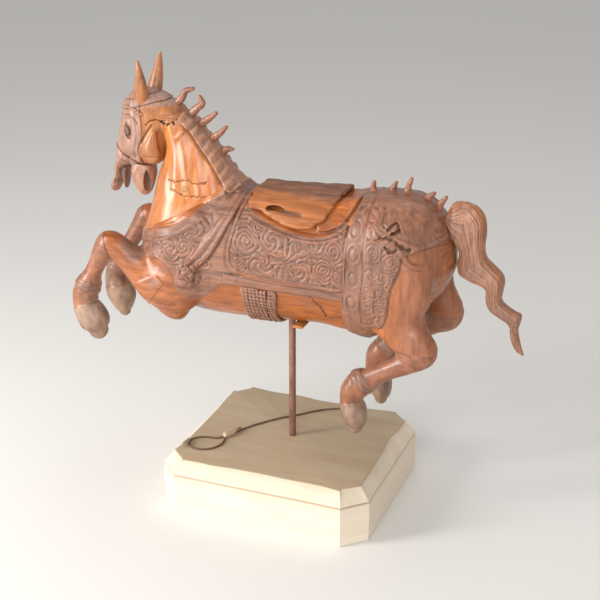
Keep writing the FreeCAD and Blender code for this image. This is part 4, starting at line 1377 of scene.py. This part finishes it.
class Nodes:
    """Short ways to build a material."""

    def __init__(self, name):
        self.material = bpy.data.materials.new(name)
        self.material.use_nodes = True
        self.tree = self.material.node_tree
        self.shader = self.tree.nodes["Principled BSDF"]

    def link(self, value, socket):
        if isinstance(value, bpy.types.NodeSocket):
            self.tree.links.new(value, socket)
        else:
            socket.default_value = value

    def set(self, **values):
        for name, value in values.items():
            self.link(value, self.shader.inputs[name.replace("_", " ")])

    def place(self, scale, turn=(0, 0, 0)):
        coordinates = self.tree.nodes.new("ShaderNodeTexCoord")
        mapping = self.tree.nodes.new("ShaderNodeMapping")
        mapping.inputs["Scale"].default_value = scale
        mapping.inputs["Rotation"].default_value = turn
        self.tree.links.new(coordinates.outputs["Object"], mapping.inputs["Vector"])
        return mapping.outputs["Vector"]

    def noise(self, place, scale, detail=4.0, rough=0.6, distortion=0.0):
        node = self.tree.nodes.new("ShaderNodeTexNoise")
        node.inputs["Scale"].default_value = scale
        node.inputs["Detail"].default_value = detail
        node.inputs["Roughness"].default_value = rough
        node.inputs["Distortion"].default_value = distortion
        self.link(place, node.inputs["Vector"])
        return node.outputs["Fac"]

    def ramp(self, fac, *stops):
        node = self.tree.nodes.new("ShaderNodeValToRGB")
        self.link(fac, node.inputs["Fac"])
        ramp = node.color_ramp
        while len(ramp.elements) < len(stops):
            ramp.elements.new(0.5)
        for element, (at, value) in zip(ramp.elements, stops):
            element.position = at
            element.color = value if isinstance(value, tuple) else (value, value, value, 1)
        return node.outputs["Color"]

    def mix(self, fac, a, b, how="MIX"):
        node = self.tree.nodes.new("ShaderNodeMix")
        node.data_type = "RGBA"
        node.blend_type = how
        self.link(fac, node.inputs["Factor"])
        self.link(a, node.inputs[6])
        self.link(b, node.inputs[7])
        return node.outputs[2]

    def math(self, how, a, b):
        node = self.tree.nodes.new("ShaderNodeMath")
        node.operation = how
        node.use_clamp = True
        self.link(a, node.inputs[0])
        self.link(b, node.inputs[1])
        return node.outputs[0]

    def attribute(self, name):
        node = self.tree.nodes.new("ShaderNodeAttribute")
        node.attribute_name = name
        return node.outputs["Fac"]

    def pointiness(self):
        return self.tree.nodes.new("ShaderNodeNewGeometry").outputs["Pointiness"]

    def bump(self, height, strength, distance=0.0004):
        node = self.tree.nodes.new("ShaderNodeBump")
        node.inputs["Strength"].default_value = strength
        node.inputs["Distance"].default_value = distance
        self.link(height, node.inputs["Height"])
        self.link(node.outputs["Normal"], self.shader.inputs["Normal"])


def carved_wood(name, bright, deep, grey, grain=(60, 60, 8), turn=(0, 0, 0), gloss=0.3, coat=0.35, wear=0.5):
    """Old oiled wood: bright where rubbed, grey patina where carved, with painted shade darkening every
    hollow.
    """
    n = Nodes(name)
    place = n.place(grain, turn)
    streaks = n.noise(place, 3.0, 6.0, 0.65, 0.4)
    body = n.place((1, 1, 1))
    clouds = n.noise(body, 22.0, 3.0, 0.55)
    wood = n.mix(n.ramp(streaks, (0.3, 0.0), (0.72, 1.0)), colour(deep), colour(bright))
    wood = n.mix(n.ramp(clouds, (0.38, 0.0), (0.7, 0.55)), wood, colour(deep))
    blotches = n.noise(body, 60.0, 4.0, 0.6)
    film = n.math("MULTIPLY", n.attribute("patina_and_top_shade"), n.ramp(blotches, (0.25, 0.75), (0.6, 1.0)))
    stray = n.math("MULTIPLY", n.ramp(n.noise(body, 14.0, 5.0, 0.6), (0.48, 0.0), (0.66, 1.0)), wear)
    film = n.math("MAXIMUM", film, stray)
    greyed = n.mix(n.ramp(streaks, (0.3, 0.0), (0.7, 1.0)), colour(grey[0]), colour(grey[1]))
    skin = n.mix(n.math("MULTIPLY", film, 0.86), wood, greyed)
    # Painted shade: concave creases are darkened
    hollows = n.ramp(n.pointiness(), (0.40, 0.30), (0.495, 1.0))
    skin = n.mix(1.0, skin, hollows, "MULTIPLY")
    edges = n.ramp(n.pointiness(), (0.515, 0.0), (0.60, 0.5))
    skin = n.mix(edges, skin, colour(bright))
    # Painted shade: carved hollows, cracks and slits are darkened towards dark brown
    skin = n.mix(n.math("MULTIPLY", n.attribute("shade_and_joint_line"), 0.62), skin, colour("2c1b14"))
    dull = n.math("ADD", gloss, n.math("MULTIPLY", n.math("MULTIPLY", film, film), 0.22))
    rough = n.math("ADD", dull, n.math("MULTIPLY", clouds, 0.12))
    n.set(Base_Color=skin, Roughness=rough, Coat_Weight=coat, Coat_Roughness=0.22)
    n.shader.inputs["Specular IOR Level"].default_value = 0.5
    n.bump(streaks, 0.35, 0.0005)
    return n.material


def plain_wood(name, light, dark, grain, turn=(0, 0, 0), gloss=0.55, spots=0.0, spot_colour="3a261c"):
    n = Nodes(name)
    place = n.place(grain, turn)
    streaks = n.noise(place, 2.5, 6.0, 0.62, 0.5)
    clouds = n.noise(n.place((1, 1, 1)), 16.0, 3.0, 0.5)
    skin = n.mix(n.ramp(streaks, (0.30, 0.0), (0.70, 1.0)), colour(dark), colour(light))
    skin = n.mix(n.ramp(clouds, (0.35, 0.0), (0.75, 0.5)), skin, colour(dark))
    if spots:
        flecks = n.ramp(n.noise(n.place((1, 1, 1)), 150.0, 3.0, 0.7), (0.66, 0.0), (0.74, spots))
        skin = n.mix(flecks, skin, colour(spot_colour))
    # Painted shade: concave creases are darkened
    skin = n.mix(1.0, skin, n.ramp(n.pointiness(), (0.42, 0.45), (0.495, 1.0)), "MULTIPLY")
    # Painted shade: the plinth's top face is darkened
    skin = n.mix(n.attribute("patina_and_top_shade"), skin, n.mix(1.0, skin, colour("c6bcae"), "MULTIPLY"))
    # Dark line along the joint between the plinth boards
    skin = n.mix(n.attribute("shade_and_joint_line"), skin, colour("9a6a40"))
    n.set(Base_Color=skin, Roughness=n.math("ADD", gloss, n.math("MULTIPLY", clouds, 0.1)))
    n.bump(streaks, 0.3, 0.0004)
    return n.material


def metal(name, light, dark, roughness, metallic):
    n = Nodes(name)
    clouds = n.noise(n.place((1, 1, 0.35)), 90.0, 5.0, 0.65)
    skin = n.mix(n.ramp(clouds, (0.35, 0.0), (0.7, 1.0)), colour(dark), colour(light))
    n.set(Base_Color=skin, Roughness=n.math("ADD", roughness, n.math("MULTIPLY", clouds, 0.2)),
          Metallic=metallic)
    n.bump(clouds, 0.12, 0.0002)
    return n.material


def twine_material(name, light, dark):
    n = Nodes(name)
    fuzz = n.noise(n.place((1, 1, 1)), 900.0, 4.0, 0.7)
    skin = n.mix(n.ramp(fuzz, (0.35, 0.0), (0.68, 1.0)), colour(dark), colour(light))
    n.set(Base_Color=skin, Roughness=0.85)
    n.bump(fuzz, 0.5, 0.0002)
    return n.material


GREYS = ("5f4235", "9a7160")
HOOF_TONES = ("6f584b", "b2957b")
materials = {
    "body": carved_wood("oiled wood", "cf7630", "7e3f1a", GREYS, (8, 60, 60), gloss=0.26, coat=0.25,
                        wear=0.3),
    "haunch": carved_wood("haunch wood", "cb7a44", "8a4d2c", GREYS, (60, 60, 9), gloss=0.24, coat=0.3,
                          wear=0.4),
    "neck": carved_wood("neck wood", "e0924e", "a3592a", ("84604f", "b58b74"), (60, 60, 7), gloss=0.24,
                        coat=0.3,
                        wear=0.25),
    "leg": carved_wood("leg wood", "cc7434", "7b421f", GREYS, (30, 60, 30), gloss=0.24, coat=0.3, wear=0.4),
    "head": carved_wood("head wood", "cf8548", "8a5230", ("7c5c4c", "b8958a"), (60, 60, 20), gloss=0.28,
                        coat=0.25,
                        wear=0.35),
    "tail": carved_wood("tail wood", "cc8450", "7d4b34", ("87604f", "c09a88"), (60, 60, 14), gloss=0.28,
                        coat=0.2,
                        wear=0.2),
    "saddle": carved_wood("saddle wood", "d27f3a", "86481f", ("50362a", "7f5644"), (8, 70, 70), gloss=0.42,
                          coat=0.1, wear=0.2),
    "hoof": carved_wood("hoof wood", "b7744a", "6b4433", HOOF_TONES, (30, 30, 12), gloss=0.3, coat=0.2,
                        wear=0.45),
    "plinth_side": plain_wood("plinth wood", "f2e8d6", "e6d5bb", (2.5, 2.5, 26), gloss=0.7, spots=0.4,
                              spot_colour="c9a67c"),
    "plinth_top": plain_wood("plinth top wood", "efe2cd", "e0cdb2", (3, 22, 22), gloss=0.7, spots=0.4,
                             spot_colour="b08a62"),
    "dowel": plain_wood("dowel wood", "c79a67", "9a6c40", (60, 8, 60), gloss=0.6),
    "batten": plain_wood("batten wood", "c8843f", "93582a", (60, 8, 60), gloss=0.5),
    "copper": metal("rod metal", "b58a78", "7d5c50", 0.35, 0.85),
    "iron": metal("nail iron", "5a5450", "2a2522", 0.45, 0.9),
    "twine": twine_material("dark twine", "94725a", "4a3324"),
    "pale": twine_material("pale fibre", "d9cbb6", "9d8668"),
    "bead": plain_wood("bead wood", "dccaae", "b79b76", (40, 40, 40), gloss=0.5)}

LOOKS = {"tail": "tail", "saddle_seat": "saddle", "head": "head", "lower_jaw": "head", "ear_left": "head",
         "ear_right": "head", "belly_plate": "batten", "neck_plug": "dowel",
         "plinth_lower_board": "plinth_side",
         "plinth_top_board": "plinth_top", "twine_run": "twine", "twine_loop": "twine", "twine_knot": "twine",
         "twine_bead": "bead", "twine_tassel": "pale", "support_rod": "copper", "plinth_screws": "iron",
         "head_nails": "iron", "elbow_nails": "iron"}


def look_for(name):
    if name in LOOKS:
        return LOOKS[name]
    if "hoof" in name and name != "hoof_dowels":
        return "hoof"
    if "dowel" in name or "peg" in name:
        return "dowel"
    if "haunch" in name or "spike" in name or "lock" in name:
        return "haunch"
    if name == "neck":
        return "neck"
    return "leg" if "cannon" in name else "body"


def dress(piece, name):
    piece.data.materials.clear()
    piece.data.materials.append(materials[look_for(name)])


for name, piece in {**pieces, **twine}.items():
    dress(piece, name)
for name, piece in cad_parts.items():
    if name not in pieces and name not in twine:
        dress(piece, name)

# ---------------------------------------------------------------- light and floor


def area_light(name, at, aim, power, size, tint=(1, 1, 1)):
    data = bpy.data.lights.new(name, "AREA")
    data.shape = "RECTANGLE"
    data.size, data.size_y = size
    data.energy = power
    data.color = tint
    lamp = bpy.data.objects.new(name, data)
    lamp.location = at
    lamp.rotation_euler = (Vector(at) - Vector(aim)).to_track_quat("Z", "Y").to_euler()
    bpy.context.scene.collection.objects.link(lamp)


def build_floor():
    bm = bmesh.new()
    for x, y in ((-6, -6), (6, -6), (6, 6), (-6, 6)):
        bm.verts.new((x, y, 0))
    bm.faces.new(bm.verts[:])
    floor = object_from(bm, "floor", smooth=False)
    n = Nodes("floor")
    tone = n.noise(n.place((1, 1, 1)), 1.5, 2.0, 0.5)
    n.set(Base_Color=n.mix(tone, colour("ece9e4"), colour("e6e3de")), Roughness=0.9)
    floor.data.materials.append(n.material)


def light_scene():
    world = bpy.data.worlds.new("studio")
    world.use_nodes = True
    sky = world.node_tree.nodes["Background"]
    sky.inputs["Color"].default_value = (0.94, 0.94, 0.95, 1)
    sky.inputs["Strength"].default_value = 0.55
    bpy.context.scene.world = world
    area_light("key", (-1.15, -0.95, 0.62), (0, 0, 0.3), 22, (0.35, 1.05), (1, 0.98, 0.95))
    area_light("fill", (0.25, -1.7, 0.8), (0, 0, 0.25), 15, (1.0, 1.0))
    area_light("top", (0.1, 0.4, 1.8), (0, 0, 0.2), 4, (1.2, 1.2))
    bpy.context.scene.view_settings.view_transform = "Standard"


build_floor()
light_scene()
